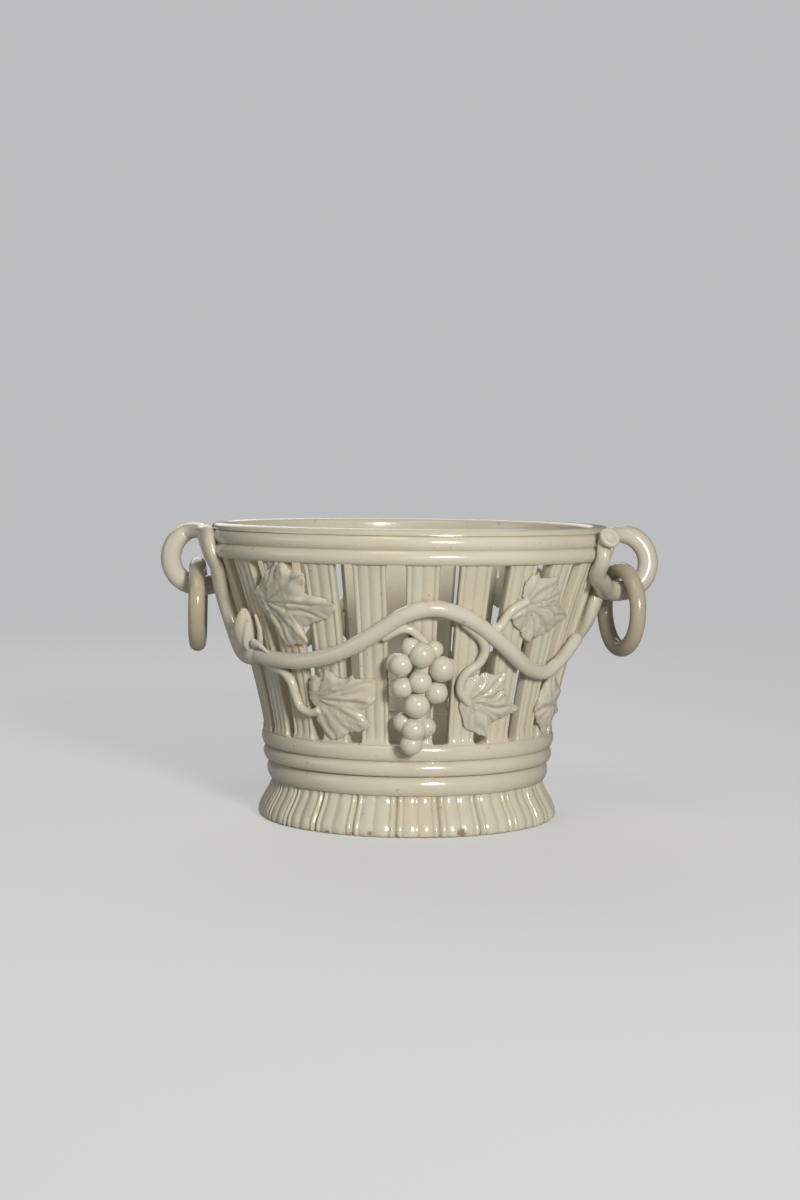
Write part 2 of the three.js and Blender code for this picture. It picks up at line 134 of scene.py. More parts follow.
print("wall radius at foot, middle, rim:", [round(wall_radius(h), 1) for h in (0, 35, 70)])

# %% [markdown]
# ## The glaze
# Cream glaze is thin on the crests, where it looks pale and warm, and pools in the hollows, where it
# turns a greenish yellow. A value named pool, stored on the vertices of the pieces with hollows, says
# how deep a place lies. One node group turns it into colour, and adds the cloudiness, the warm patches
# where the clay shows through, and the specks. A second value, chip, bares the clay on the foot's hem.

# %% Helpers for nodes
def add_node(tree, kind, **settings):
    node = tree.nodes.new(kind)
    for name, value in settings.items():
        setattr(node, name, value)
    return node


def noise_over(tree, where, scale, detail):
    node = add_node(tree, "ShaderNodeTexNoise")
    node.inputs["Scale"].default_value = scale
    node.inputs["Detail"].default_value = detail
    tree.links.new(where.outputs["Object"], node.inputs["Vector"])
    return node.outputs["Fac"]


def remapped(tree, value, start, end, to_start=0, to_end=1, **settings):
    """A value that runs from start to end, moved so that it runs from to_start to to_end."""
    node = add_node(tree, "ShaderNodeMapRange", **settings)
    node.inputs["From Min"].default_value = start
    node.inputs["From Max"].default_value = end
    node.inputs["To Min"].default_value = to_start
    node.inputs["To Max"].default_value = to_end
    tree.links.new(value, node.inputs["Value"])
    return node.outputs["Result"]


def blended(tree, amount, under, over):
    """One colour laid over another, by an amount from 0 to 1."""
    node = add_node(tree, "ShaderNodeMix", data_type="RGBA")
    tree.links.new(amount, node.inputs["Factor"])
    tree.links.new(under, node.inputs["A"])
    tree.links.new(over, node.inputs["B"])
    return node.outputs["Result"]


def calculated(tree, operation, *values, **settings):
    """A sum over values, each a number or what another node gives out."""
    node = add_node(tree, "ShaderNodeMath", operation=operation, **settings)
    for value, socket in zip(values, node.inputs):
        if isinstance(value, (int, float)):
            socket.default_value = value
        else:
            tree.links.new(value, socket)
    return node.outputs["Value"]


# %% A node group for the glaze
CLOUD_SCALE = 38
CLOUD_RANGE = (0.3, 0.75)
CLOUD_POOL = (-0.04, 0.16)
PATCH_SCALE = 62
PATCH_RANGE = (0.52, 0.8)
PATCH_WARMTH = 0.75
SPECK_SCALE = 420
SPECK_RANGE = (0.72, 0.8)
SKIN_SCALE = 230
GLAZE_ROUGHNESS = (0.13, 0.24)
BARE_CLAY_ROUGHNESS = 0.6


def make_glaze_group():
    group = bpy.data.node_groups.new("cream glaze", "ShaderNodeTree")
    sockets = group.interface
    for name in ("Body", "Pooled", "Warm", "Speck"):
        sockets.new_socket(name, in_out="INPUT", socket_type="NodeSocketColor")
    sockets.new_socket("Specks", in_out="INPUT", socket_type="NodeSocketFloat")
    sockets.new_socket("Color", in_out="OUTPUT", socket_type="NodeSocketColor")
    for name in ("Roughness", "Height"):
        sockets.new_socket(name, in_out="OUTPUT", socket_type="NodeSocketFloat")
    given = add_node(group, "NodeGroupInput").outputs
    out = add_node(group, "NodeGroupOutput").inputs
    where = add_node(group, "ShaderNodeTexCoord")
    pool = add_node(group, "ShaderNodeAttribute", attribute_name="pool")
    chip = add_node(group, "ShaderNodeAttribute", attribute_name="chip")

    cloud = noise_over(group, where, CLOUD_SCALE, 3)
    cloudy = remapped(group, cloud, *CLOUD_RANGE, *CLOUD_POOL)
    pooled = calculated(group, "ADD", pool.outputs["Fac"], cloudy, use_clamp=True)
    colour = blended(group, pooled, given["Body"], given["Pooled"])
    patches = noise_over(group, where, PATCH_SCALE, 4)
    patches = remapped(group, patches, *PATCH_RANGE, 0, PATCH_WARMTH)
    colour = blended(group, patches, colour, given["Warm"])
    dots = remapped(group, noise_over(group, where, SPECK_SCALE, 1), *SPECK_RANGE)
    specks = calculated(group, "MULTIPLY", dots, given["Specks"])
    colour = blended(group, specks, colour, given["Speck"])
    colour = blended(group, chip.outputs["Fac"], colour, given["Speck"])
    group.links.new(colour, out["Color"])

    shine = remapped(group, cloud, 0, 1, *GLAZE_ROUGHNESS)
    dulled = calculated(group, "MULTIPLY_ADD", chip.outputs["Fac"], BARE_CLAY_ROUGHNESS, shine)
    group.links.new(dulled, out["Roughness"])
    group.links.new(noise_over(group, where, SKIN_SCALE, 3), out["Height"])
    return group


glaze_group = make_glaze_group()
print("glaze group:", len(glaze_group.nodes), "nodes")

# %% The glazes of the body, the relief and the rings
GLAZE_IOR = 1.52
BUMP_STRENGTH = 0.26
BUMP_DISTANCE = 0.4


def make_glaze(name, body, pooled, warm, speck, specks):
    material = bpy.data.materials.new(name)
    material.use_nodes = True
    tree = material.node_tree
    shader = tree.nodes["Principled BSDF"]
    glaze = add_node(tree, "ShaderNodeGroup", node_tree=glaze_group)
    for socket, colour in (("Body", body), ("Pooled", pooled), ("Warm", warm), ("Speck", speck)):
        glaze.inputs[socket].default_value = (*colour, 1)
    glaze.inputs["Specks"].default_value = specks
    bump = add_node(tree, "ShaderNodeBump")
    bump.inputs["Strength"].default_value = BUMP_STRENGTH
    bump.inputs["Distance"].default_value = BUMP_DISTANCE * MM
    shader.inputs["IOR"].default_value = GLAZE_IOR
    tree.links.new(glaze.outputs["Color"], shader.inputs["Base Color"])
    tree.links.new(glaze.outputs["Roughness"], shader.inputs["Roughness"])
    tree.links.new(glaze.outputs["Height"], bump.inputs["Height"])
    tree.links.new(bump.outputs["Normal"], shader.inputs["Normal"])
    return material


GLAZES = {
    "body_glaze": make_glaze(
        "body glaze", (0.63, 0.585, 0.46), (0.42, 0.39, 0.26), (0.64, 0.52, 0.35), (0.29, 0.18, 0.12), 0.5),
    "relief_glaze": make_glaze(
        "relief glaze", (0.63, 0.59, 0.48), (0.42, 0.39, 0.28), (0.6, 0.5, 0.36), (0.4, 0.22, 0.14), 0.5),
    "ring_glaze": make_glaze(
        "ring glaze", (0.46, 0.4, 0.3), (0.34, 0.29, 0.19), (0.42, 0.33, 0.22), (0.3, 0.16, 0.1), 0.6),
}
print("materials:", [material.name for material in GLAZES.values()])

# %% [markdown]
# ## A helper that draws a form out row by row
# Turned bands, reeded slats and rolled rods are all a ring of points that is carried along and changed
# as it goes. A circle is added, its vertices are set to the first row, and it is extruded once for
# each further row. Each point carries its place in millimetres and how deep in the glaze it lies.

# %% The helper
MERGE_DISTANCE = 0.002


def set_row(obj, row):
    mesh = bmesh.from_edit_mesh(obj.data)
    corner = mesh.verts.layers.int["corner"]
    pool = mesh.verts.layers.float["pool"]
    for vert in mesh.verts:
        if vert.select:
            spot, depth = row[vert[corner]]
            vert.co = spot * MM
            vert[pool] = depth
    bmesh.update_edit_mesh(obj.data)


def drawn_out(name, rows, closed=False):
    """An object whose rows are lists of (place in mm, pool). A closed one ends where it begins."""
    bpy.ops.object.select_all(action="DESELECT")
    fill = "NOTHING" if closed else "NGON"
    bpy.ops.mesh.primitive_circle_add(vertices=len(rows[0]), radius=10 * MM, fill_type=fill)
    obj = bpy.context.object
    obj.name = name
    bpy.ops.object.mode_set(mode="EDIT")
    bpy.ops.mesh.select_all(action="SELECT")
    mesh = bmesh.from_edit_mesh(obj.data)
    corner = mesh.verts.layers.int.new("corner")
    mesh.verts.layers.float.new("pool")
    for number, vert in enumerate(mesh.verts):
        vert[corner] = number
    set_row(obj, rows[0])
    for row in rows[1:]:
        bpy.ops.mesh.extrude_region_move()
        set_row(obj, row)
    if closed:
        bpy.ops.mesh.extrude_region_move()
        set_row(obj, rows[0])
    bpy.ops.mesh.select_all(action="SELECT")
    bpy.ops.mesh.remove_doubles(threshold=MERGE_DISTANCE * MM)
    bpy.ops.mesh.normals_make_consistent(inside=False)
    bpy.ops.object.mode_set(mode="OBJECT")
    return obj


# %% [markdown]
# ## Finishing a piece
# A piece gets its glaze, the body that it moves with and the CAD nodes that it stands for. The
# ornament of the back is the front's, copied and turned half round.

# %% Finishing, copying and joining
SHARPEST_SMOOTH_ANGLE = 50


def select(*objects):
    bpy.ops.object.select_all(action="DESELECT")
    for obj in objects:
        obj.select_set(True)
    bpy.context.view_layer.objects.active = objects[0]


def finish_piece(obj, glaze, nodes, body="pot"):
    obj.data.materials.clear()
    obj.data.materials.append(GLAZES[glaze])
    select(obj)
    bpy.ops.object.shade_smooth_by_angle(angle=math.radians(SHARPEST_SMOOTH_ANGLE))
    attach(obj, body)
    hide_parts(*nodes)
    obj.data.calc_loop_triangles()
    print(obj.name, len(obj.data.loop_triangles), "triangles")
    return obj


def copied(obj, name, turn=0):
    """A copy with its own mesh, turned about the middle of the pot by some degrees."""
    twin = obj.copy()
    twin.data = obj.data.copy()
    twin.name = name
    twin.data.transform(Matrix.Rotation(math.radians(turn), 4, "Z"))
    bpy.context.collection.objects.link(twin)
    return twin


def finish_both_sides(front, node):
    """Finishes a piece of ornament, and a copy of it turned half round for the back."""
    finish_piece(front, "relief_glaze", [node])
    back = copied(front, front.name.replace("front", "back"), 180)
    finish_piece(back, "relief_glaze", [node.replace("front", "back")])


def joined(name, parts):
    select(*parts)
    bpy.ops.object.join()
    parts[0].name = name
    return parts[0]


# %% [markdown]
# ## The bands
# The beads of the two bands could be cut with booleans, but a profile carried round is how a potter
# runs them on the wheel. Each bead is a soft half-round with a narrow groove on each side, and a slight
# unevenness keeps the run from looking machined.

# %% The profiles of the bands, turned
TURN_SIDES = 160
BEAD_STEPS = 14
# beads, as height, radius and relief
LOW_BEAD = (7.5, 57.4, 1.3)
MIDDLE_BEAD = (6, 58.9, 1.2)
TOP_BEAD = (7, 59.7, 1.1)
TOP_BEAD_END = SLAT_FOOT - 2.5
RIM_BEAD = (5.5, RIM_REACH, 1.25)
# the shoulder under the slats, as radius, height above their foot, and pool
SHOULDER = [
    (59.62, -1.8, 0), (59.4, -1.1, 0), (59.05, -0.5, 0), (58.5, -0.1, 0), (57.6, 0.1, 0.1),
    (56.5, 0.1, 0.2), (54, 0, 0.2), (53.2, -0.3, 0.2), (BAND_INNER_RADIUS, -1, 0),
]
LIP_RADIUS = 80.6
LIP_HEIGHT = 2.4
LIP_STEPS = 10
RIM_SEAT_RADIUS = 77.5


def bead(foot, height, radius, relief):
    """Points up one bead as (radius, height, pool), from its lower groove to its upper groove."""
    points = []
    for step in range(BEAD_STEPS + 1):
        share = step / BEAD_STEPS
        swell = ridge(share)
        points.append((radius - relief * (1 - swell), foot + height * share, max(0, 0.6 - 1.2 * swell)))
    return points


def wobble(angle, height, amount):
    """A little more or less radius, that changes slowly round the pot."""
    turn = math.radians(angle)
    at = Vector((2.2 * math.cos(turn), 2.2 * math.sin(turn), height * 0.05))
    return amount * noise.noise(at)


def turned(name, profile, amount=0.12):
    rows = []
    for radius, height, pool in profile:
        row = []
        for side in range(TURN_SIDES):
            angle = 360 * side / TURN_SIDES
            reach = radius + wobble(angle, height, amount)
            row.append((place(angle, reach, height - SLAT_FOOT), pool))
        rows.append(row)
    return drawn_out(name, rows, closed=True)


def lower_band_profile():
    """Three beads up the front, the shoulder, and a plain wall down the inside."""
    middle_foot = BAND_FOOT + LOW_BEAD[0]
    top_foot = middle_foot + MIDDLE_BEAD[0]
    profile = bead(BAND_FOOT, *LOW_BEAD)
    profile += bead(middle_foot, *MIDDLE_BEAD)[1:]
    profile += [point for point in bead(top_foot, *TOP_BEAD)[1:] if point[1] < TOP_BEAD_END]
    profile += [(radius, SLAT_FOOT + above, pool) for radius, above, pool in SHOULDER]
    profile += [(BAND_INNER_RADIUS, BAND_FOOT + up, pool) for up, pool in ((12, 0), (5.6, 0.5), (0, 0.5))]
    return profile


def rim_band_profile():
    """Two beads, a rounded lip over them, and a plain inside down to the tops of the slats."""
    second_foot = RIM_FOOT + RIM_BEAD[0]
    lip_foot = second_foot + RIM_BEAD[0]
    profile = bead(RIM_FOOT, *RIM_BEAD) + bead(second_foot, *RIM_BEAD)[1:]
    lip_middle = (LIP_RADIUS + RIM_INNER_RADIUS) / 2
    lip_half = (LIP_RADIUS - RIM_INNER_RADIUS) / 2
    for step in range(LIP_STEPS + 1):
        turn = math.pi * step / LIP_STEPS
        height = lip_foot + LIP_HEIGHT * math.sin(turn) ** 0.7
        profile.append((lip_middle + lip_half * math.cos(turn), height, 0.25 if step < 2 else 0))
    profile += [(RIM_INNER_RADIUS, RIM_FOOT + 8, 0), (RIM_INNER_RADIUS, RIM_FOOT + 3, 0.1)]
    profile += [(RIM_INNER_RADIUS + 0.3, RIM_FOOT, 0.4), (RIM_SEAT_RADIUS, RIM_FOOT, 0.5)]
    return profile


finish_piece(turned("lower_band_beads", lower_band_profile()), "body_glaze", ["lower_band"])
finish_piece(turned("rim_band_beads", rim_band_profile()), "body_glaze", ["rim_band"])

# %% [markdown]
# ## The slats
# Each slat is a strip of clay run out through a reeded die: two wide reeds between two narrow ones. Its
# section is carried up the wall, widened and bent as it goes, and spread at both ends where the wet
# clay was pressed on the bands. Each place gets its own slat, because the hand set each a little askew
# at its foot.

# %% The front of a strip of reeds
REED_STEPS = 7
REED_DEPTH = 0.5


def reed_front(reeds, depth, steps):
    """Points across the front in shares of the width, as (share across, drop from the crest, pool)."""
    points = []
    side = 0.0
    for reed in reeds:
        for step in range(steps):
            share = step / steps
            swell = ridge(share)
            points.append((side + reed * share, depth * (1 - swell), max(0, 0.5 - swell)))
        side += reed
    points.append((1.0, depth, 0.5))
    return points


# %% The slats, one for each place
SLAT_SPREAD_HEIGHT = 1.8
SLAT_FOOT_SPREAD = 2.8
SLAT_TOP_SPREAD = 1.6
SLAT_MERGE_HEIGHT = 3.5
SLAT_MERGE_PROUD = 0.75
SLAT_EDGE_ROUND = 0.9
SLAT_BACK_SHARE = 0.94
SLAT_FOOT_ROWS = (-1.2, -0.5, 0, 0.2, 0.5, 0.9, 1.4, 2, 2.8)
SLAT_MIDDLE_ROWS = 26
SLAT_TOP_ROWS = (1.8, 1.1, 0.5, 0.15, 0)


def slat_width(height):
    width = lerp(SLAT_FOOT_WIDTH, SLAT_RIM_WIDTH, height / SLAT_HEIGHT)
    for edge, spread in ((height, SLAT_FOOT_SPREAD), (SLAT_HEIGHT - height, SLAT_TOP_SPREAD)):
        if edge < SLAT_SPREAD_HEIGHT:
            reach = 1 - max(0, edge) / SLAT_SPREAD_HEIGHT
            width += (1 - math.sqrt(1 - reach * reach)) * spread
    return width


def slat_row(slat, height):
    """The section of a slat. Near its foot the reeds flatten out, and it stands a little proud."""
    width = slat_width(height)
    middle = lerp(slat_foot_angle(slat), slat_angle(slat), max(0, height / SLAT_HEIGHT))
    radius = wall_radius(max(0, height))
    merged = 1 - smooth(height / SLAT_MERGE_HEIGHT)
    proud = SLAT_MERGE_PROUD * merged + min(0, height) / 2
    row = []
    for across, drop, pool in reed_front(SLAT_REEDS, REED_DEPTH * (1 - merged), REED_STEPS):
        offset = (across - 0.5) * width
        from_edge = width / 2 - abs(offset)
        if from_edge < SLAT_EDGE_ROUND:
            level = math.sqrt(max(0, 1 - (1 - from_edge / SLAT_EDGE_ROUND) ** 2))
            drop = max(drop, SLAT_EDGE_ROUND * (1 - level))
            pool *= 0.3
        angle = middle + math.degrees(offset / radius)
        row.append((place(angle, radius - drop + proud, height), pool * (1 - merged)))
    for across in (0.5, 0.0, -0.5):
        angle = middle + math.degrees(across * width * SLAT_BACK_SHARE / radius)
        row.append((place(angle, radius - SLAT_THICKNESS, height), 0.1))
    return row


def make_slat(slat):
    first = SLAT_FOOT_ROWS[-1]
    last = SLAT_HEIGHT - SLAT_TOP_ROWS[0]
    heights = list(SLAT_FOOT_ROWS)
    heights += [lerp(first, last, (row + 1) / SLAT_MIDDLE_ROWS) for row in range(SLAT_MIDDLE_ROWS)]
    heights += [SLAT_HEIGHT - down for down in SLAT_TOP_ROWS[1:]]
    rows = [slat_row(slat, height) for height in heights]
    return drawn_out(f"slat_{slat + 1:02d}_reeded", rows)


for slat in range(SLAT_COUNT):
    finish_piece(make_slat(slat), "body_glaze", [f"slat_{slat + 1:02d}"])

# %% [markdown]
# ## The foot
# The foot is a skirt of the same reeded strips, side by side and pressed outwards, so that their ends
# make a wavy hem. Its outline is one ring of points, carried down the flare and back up inside. A few
# chips at the hem show the brown clay.

# %% The skirt of reeded strips
FOOT_NECK_RADIUS = 55.4
FOOT_FLARE = 5.5
FOOT_WALL = 5.4
FOOT_REED_DEPTH = 0.65
SEAM_DEPTH = 0.9
SEAM_SHARE = 0.085
SEAM_POOL = 0.4
FOOT_FRONT_ROWS = (14.5, 13, 11.5, 10, 8.5, 7, 5.5, 4, 2.8, 1.8, 1.2)
# rows round the hem, as height, way inward, and share of the reeds' relief
FOOT_HEM_ROWS = [
    (0.7, 0.15, 1), (0.3, 0.45, 1), (0.05, 0.9, 0.9), (0, 1.6, 0.6), (0, 3.4, 0), (0.4, 4.4, 0),
    (1.2, 4.9, 0),
]
FOOT_INSIDE_ROWS = (3, 6, 9, 12, BAND_FOOT)
# chips, as angle, height and reach
FOOT_CHIPS = [
    (-30.6, 1, 0.9), (-20.9, 0.6, 1.2), (-13.6, 1.6, 1.1), (-3.8, 0.3, 1.1), (20.3, 1.8, 1.9),
    (128, 0.8, 1.3), (171, 1.5, 1), (-142, 0.6, 1.5), (-95, 1, 1),
]


def foot_radius(height):
    flare = smooth((BAND_FOOT - height) / (BAND_FOOT * 0.9))
    return FOOT_NECK_RADIUS + FOOT_FLARE * flare


def foot_outline():
    """Points round the skirt as (angle, drop from the crest, pool)."""
    points = []
    for strip in range(SLAT_COUNT):
        start = (slat_foot_angle(strip - 1) + slat_foot_angle(strip)) / 2
        end = (slat_foot_angle(strip) + slat_foot_angle(strip + 1)) / 2
        for across, drop, pool in reed_front(SLAT_REEDS, FOOT_REED_DEPTH, REED_STEPS)[:-1]:
            seam = max(0.0, 1 - min(across, 1 - across) / SEAM_SHARE) ** 1.3
            pool = min(1, pool + SEAM_POOL * seam)
            points.append((lerp(start, end, across), drop + SEAM_DEPTH * seam, pool))
    return points


def foot_row(height, inward, relief):
    row = []
    for angle, drop, pool in foot_outline():
        radius = foot_radius(height) - inward - drop * relief
        row.append((place(angle, radius, height - SLAT_FOOT), pool * relief))
    return row


def add_chips(skirt):
    """Marks how bare the clay is at each vertex, in ragged spots near the hem."""
    spots = [place(angle, foot_radius(height), height - SLAT_FOOT) for angle, height, _ in FOOT_CHIPS]
    chip = skirt.data.attributes.new("chip", "FLOAT", "POINT")
    for vert, value in zip(skirt.data.vertices, chip.data):
        at = vert.co / MM
        ragged = 1 + 0.5 * noise.noise(at * 0.9)
        for spot, (_, _, reach) in zip(spots, FOOT_CHIPS):
            value.value = max(value.value, smooth(1.8 * hump((at - spot).length * ragged, reach)))


def make_foot():
    rows = [foot_row(BAND_FOOT, 0, 0.8)]
    rows += [foot_row(height, 0, 1) for height in FOOT_FRONT_ROWS]
    rows += [foot_row(height, inward, relief) for height, inward, relief in FOOT_HEM_ROWS]
    rows += [foot_row(height, FOOT_WALL, 0) for height in FOOT_INSIDE_ROWS]
    skirt = drawn_out("foot_skirt_reeded", rows, closed=True)
    add_chips(skirt)
    return skirt


finish_piece(make_foot(), "body_glaze", ["foot_skirt"])

# %% [markdown]
# ## Rolled rods: the vine, its twigs and the handles
# These were rolled by hand from clay and pressed on while soft. A curve with a round bevel would give
# the same tube, but drawing the section out along the course lets it thicken, flatten against the
# wall and round off at its ends as rolled clay does.

# %% Smooth courses
def smooth_course(points, samples=8):
    """A centripetal Catmull-Rom line through the points."""
    ends = [points[0] * 2 - points[1], *points, points[-1] * 2 - points[-2]]
    line = []
    for at in range(1, len(ends) - 2):
        a, b, c, d = ends[at - 1:at + 3]
        knots = [0.0]
        for start, end in ((a, b), (b, c), (c, d)):
            knots.append(knots[-1] + max(1e-6, (end - start).length) ** 0.5)
        for step in range(samples):
            t = lerp(knots[1], knots[2], step / samples)
            ab = a.lerp(b, (t - knots[0]) / (knots[1] - knots[0]))
            bc = b.lerp(c, (t - knots[1]) / (knots[2] - knots[1]))
            cd = c.lerp(d, (t - knots[2]) / (knots[3] - knots[2]))
            abc = ab.lerp(bc, (t - knots[0]) / (knots[2] - knots[0]))
            bcd = bc.lerp(cd, (t - knots[1]) / (knots[3] - knots[1]))
            line.append(abc.lerp(bcd, (t - knots[1]) / (knots[2] - knots[1])))
    line.append(points[-1].copy())
    return line


def wall_course(spots, samples=8):
    """A course drawn flat, as angle, share of the wall's height and standoff, and laid on the wall."""
    flat = [Vector((angle, share * SLAT_HEIGHT, standoff)) for angle, share, standoff in spots]
    return [on_wall(spot.x, spot.y, spot.z) for spot in smooth_course(flat, samples)]


def flat_course(spots, standoff, samples=8):
    """A course on the wall with one standoff all along it."""
    return wall_course([(angle, share, standoff) for angle, share in spots], samples)


# %% A rod along a course
END_STEPS = 5
ROD_UNEVENNESS = 0.03


def rod(name, line, diameter_at, sides=20, flat=1.0, blunt=0.45, pool_below=0.55, leaves_wall=1.0):
    """A rolled rod. diameter_at gives its thickness for a share of its length.

    Its section faces away from the pot until the share at which it leaves the wall, and is carried
    along without a twist from there on.
    """
    lengths = [0.0]
    for start, end in zip(line, line[1:]):
        lengths.append(lengths[-1] + (end - start).length)
    rows = []
    last = len(line) - 1
    for at, middle in enumerate(line):
        along = (line[min(at + 1, last)] - line[max(at - 1, 0)]).normalized()
        share = lengths[at] / lengths[-1]
        if share <= leaves_wall:
            outward = outward_at(middle)
        outward = (outward - along * outward.dot(along)).normalized()
        across = along.cross(outward)
        radius = diameter_at(share) / 2
        radius *= 1 + ROD_UNEVENNESS * noise.noise(middle * 0.11)
        flatness = flat(share) if callable(flat) else flat
        row = []
        for turn in turns(sides):
            out = math.cos(turn) * radius * flatness
            beside = math.sin(turn) * radius
            pool = pool_below * max(0, -math.cos(turn))
            row.append((middle + outward * out + across * beside, pool))
        rows.append(row)
    start = round_end(rows[0], line[0], line[0] - line[1], blunt)
    end = round_end(rows[-1], line[-1], line[-1] - line[-2], blunt)
    return drawn_out(name, start[::-1] + rows + end)


def round_end(edge, middle, outwards, blunt):
    """Rows that close a rod with a rounded end, from its last full row outwards."""
    radius = (edge[0][0] - middle).length
    along = outwards.normalized() * radius * blunt
    ends = []
    for step in range(1, END_STEPS + 1):
        turn = math.pi / 2 * step / END_STEPS
        size = max(0.02, math.cos(turn))
        ends.append([(middle + (spot - middle) * size + along * math.sin(turn), pool)
                     for spot, pool in edge])
    return ends


# %% The vine and its twigs
VINE_DIAMETER = 6.2
VINE_START_SHARE = 0.78
VINE_TAPER = 0.17
TWIG_DIAMETER = 3.6
# courses are given as angle and share of the wall's height
VINE_COURSE = [
    (-61.5, 0.463), (-50, 0.45), (-35, 0.458), (-22, 0.515), (-10.5, 0.622), (-1, 0.735), (7, 0.768),
    (16, 0.722), (31, 0.55), (42, 0.424), (52, 0.389), (61, 0.46), (69, 0.56),
]
TWIG_COURSES = [
    [(-8, 0.61), (-2.4, 0.655), (0.3, 0.65), (3.5, 0.604), (5.3, 0.57)],
    [
        (-56, 0.44), (-51, 0.4), (-46, 0.375), (-43.5, 0.32), (-42.7, 0.247), (-41.1, 0.186),
        (-36.5, 0.162), (-33, 0.18),
    ],
    [
        (16.5, 0.69), (22.5, 0.6), (24.3, 0.535), (22.9, 0.463), (19.2, 0.413), (17.3, 0.36),
        (17.5, 0.3), (21, 0.238),
    ],
    [(22, 0.66), (27.4, 0.655), (31, 0.75), (36, 0.8)],
]


def vine_thickness(share):
    """Drawn thin where the handle takes it over, and again towards its free end."""
    start = lerp(VINE_START_SHARE, 1, smooth(share / 0.035))
    return VINE_DIAMETER * start * (1 - VINE_TAPER * smooth((share - 0.72) / 0.2))


def twig_thickness(share):
    return TWIG_DIAMETER * lerp(1.15, 0.85, share)


def make_vine():
    stem = rod("vine", flat_course(VINE_COURSE, VINE_DIAMETER / 2 - 0.2), vine_thickness, sides=24)
    parts = [stem]
    for course in TWIG_COURSES:
        line = flat_course(course, TWIG_DIAMETER / 2 + 0.2, samples=7)
        parts.append(rod("twig", line, twig_thickness, sides=16))
    return joined("vine_front_rolled", parts)


finish_both_sides(make_vine(), "vine_front")

# %% [markdown]
# ## The handles
# The end of the vine rises over the rim as a strap, curls into a loop, comes back to the wall and ends
# on the rim, cut off with a knife and spread a little. It is the same rolled rod, so it is drawn out
# in the same way, and the cut end is a short, wider disc. The hand laid the two straps differently, so
# each side has its own course up the wall. The right one lies flat, which leaves its ring free to swing
# in. Loop and cut end are alike, and the right handle is turned half round.

# %% The course of a handle
HANDLE_DIAMETER = 8.2
# places on the wall are angle, share of its height and standoff; on the rim, height above the slats
STRAP_START = [(-56, 0.461, 3), (-62, 0.458, 3)]
LEFT_STRAP = {
    "width": 8.5, "flat": 0.74,
    "on_wall": [
        (-68, 0.456, 3), (-73.5, 0.475, 3), (-77.5, 0.53, 3), (-79.5, 0.62, 3), (-79.5, 0.74, 2.9),
        (-77.5, 0.84, 2.4), (-75.5, 0.94, 1.5),
    ],
    "on_rim": [(-75.5, 2, 0.8), (-76.5, 6.2, 1.6), (-84, 9.5, 3)],
}
RIGHT_STRAP = {
    "width": 10, "flat": 0.56,
    "on_wall": [
        (-70, 0.456, 2.4), (-79, 0.466, 0.5), (-88, 0.5, -0.6), (-94, 0.565, 0.2), (-97.5, 0.66, 2.3),
        (-98, 0.76, 2.7), (-95, 0.86, 1.2), (-91.5, 0.95, -0.7),
    ],
    "on_rim": [(-89, 2, -1.4), (-87, 6.2, 0.6), (-87.5, 9.5, 3)],
}
LOOP_REACH = 86.2
LOOP_HEIGHT = -1.9
LOOP_RADIUS = 11.2
LOOP_LEAN = 20
LOOP_MIDDLE = 2.5
LOOP_START = 158
LOOP_STEPS = 6
LOOP_TOP_STRETCH = 1.06
RETURN_TO_WALL = [(-98.5, 0.83, 0.9), (-106.5, 0.872, 0), (-114, 0.93, -0.7)]
RETURN_ON_RIM = [(-116.6, 1, -1), (-115.8, 7.4, -1)]
CUT_END_TURN = 25
CUT_END_RUN = 4.2
CUT_END_RISE = 0.62


def loop_place(turn):
    """A place on the loop, by degrees from its lowest point. It drifts sideways as it leans."""
    out = LOOP_RADIUS * math.sin(math.radians(turn))
    up = -LOOP_RADIUS * math.cos(math.radians(turn))
    up *= LOOP_TOP_STRETCH if up > 0 else 1
    drift = -math.tan(math.radians(LOOP_LEAN)) * LOOP_RADIUS * math.sin(math.radians(turn / 2))
    return Vector((-LOOP_REACH - out, LOOP_MIDDLE + drift, RIM_FOOT + LOOP_HEIGHT + up))


def on_rim(angle, height, standoff):
    return place(angle, RIM_REACH + standoff, SLAT_HEIGHT + height)


def handle_line(strap):
    """The course of the rod, and the way in which its cut end faces."""
    beside = HANDLE_DIAMETER / 2 + 0.1
    points = wall_course(STRAP_START + strap["on_wall"], samples=4)
    points += [on_rim(angle, height, off) for angle, height, off in strap["on_rim"]]
    points += [loop_place(LOOP_START * (1 - step / LOOP_STEPS)) for step in range(LOOP_STEPS + 1)]
    points += [on_wall(angle, share * SLAT_HEIGHT, beside + off) for angle, share, off in RETURN_TO_WALL]
    points += [on_rim(angle, height, beside + off) for angle, height, off in RETURN_ON_RIM]
    turn = math.radians(CUT_END_TURN)
    away = Vector((-math.sin(turn), math.cos(turn), CUT_END_RISE)).normalized()
    points.append(points[-1] + away * CUT_END_RUN)
    return smooth_course(points, samples=5), away


print("points on the left course:", len(handle_line(LEFT_STRAP)[0]))

# %% The section of a handle, and its cut end
STRAP_START_DIAMETER = VINE_DIAMETER - 1.4
STRAP_RIM_WIDTH = 13
STRAP_RIM_THICKNESS = 6.5
LOOP_TOP_DIAMETER = 6.3
TAIL_DIAMETER = 5.6
CUT_END_RADIUS = 4.15
CUT_END_SIDES = 24
# rows of the cut end, as way along, share of its radius, and pool
CUT_END_ROWS = [
    (-2.6, 0.68, 0), (-1.8, 0.76, 0.3), (-1.1, 0.9, 0.2), (-0.4, 0.99, 0), (0.4, 1, 0), (1, 0.95, 0),
    (1.25, 0.86, 0), (1.1, 0.62, 0.2), (0.95, 0.4, 0.45), (0.9, 0.3, 0.3), (1.1, 0.15, 0.1),
    (1.15, 0.005, 0.1),
]


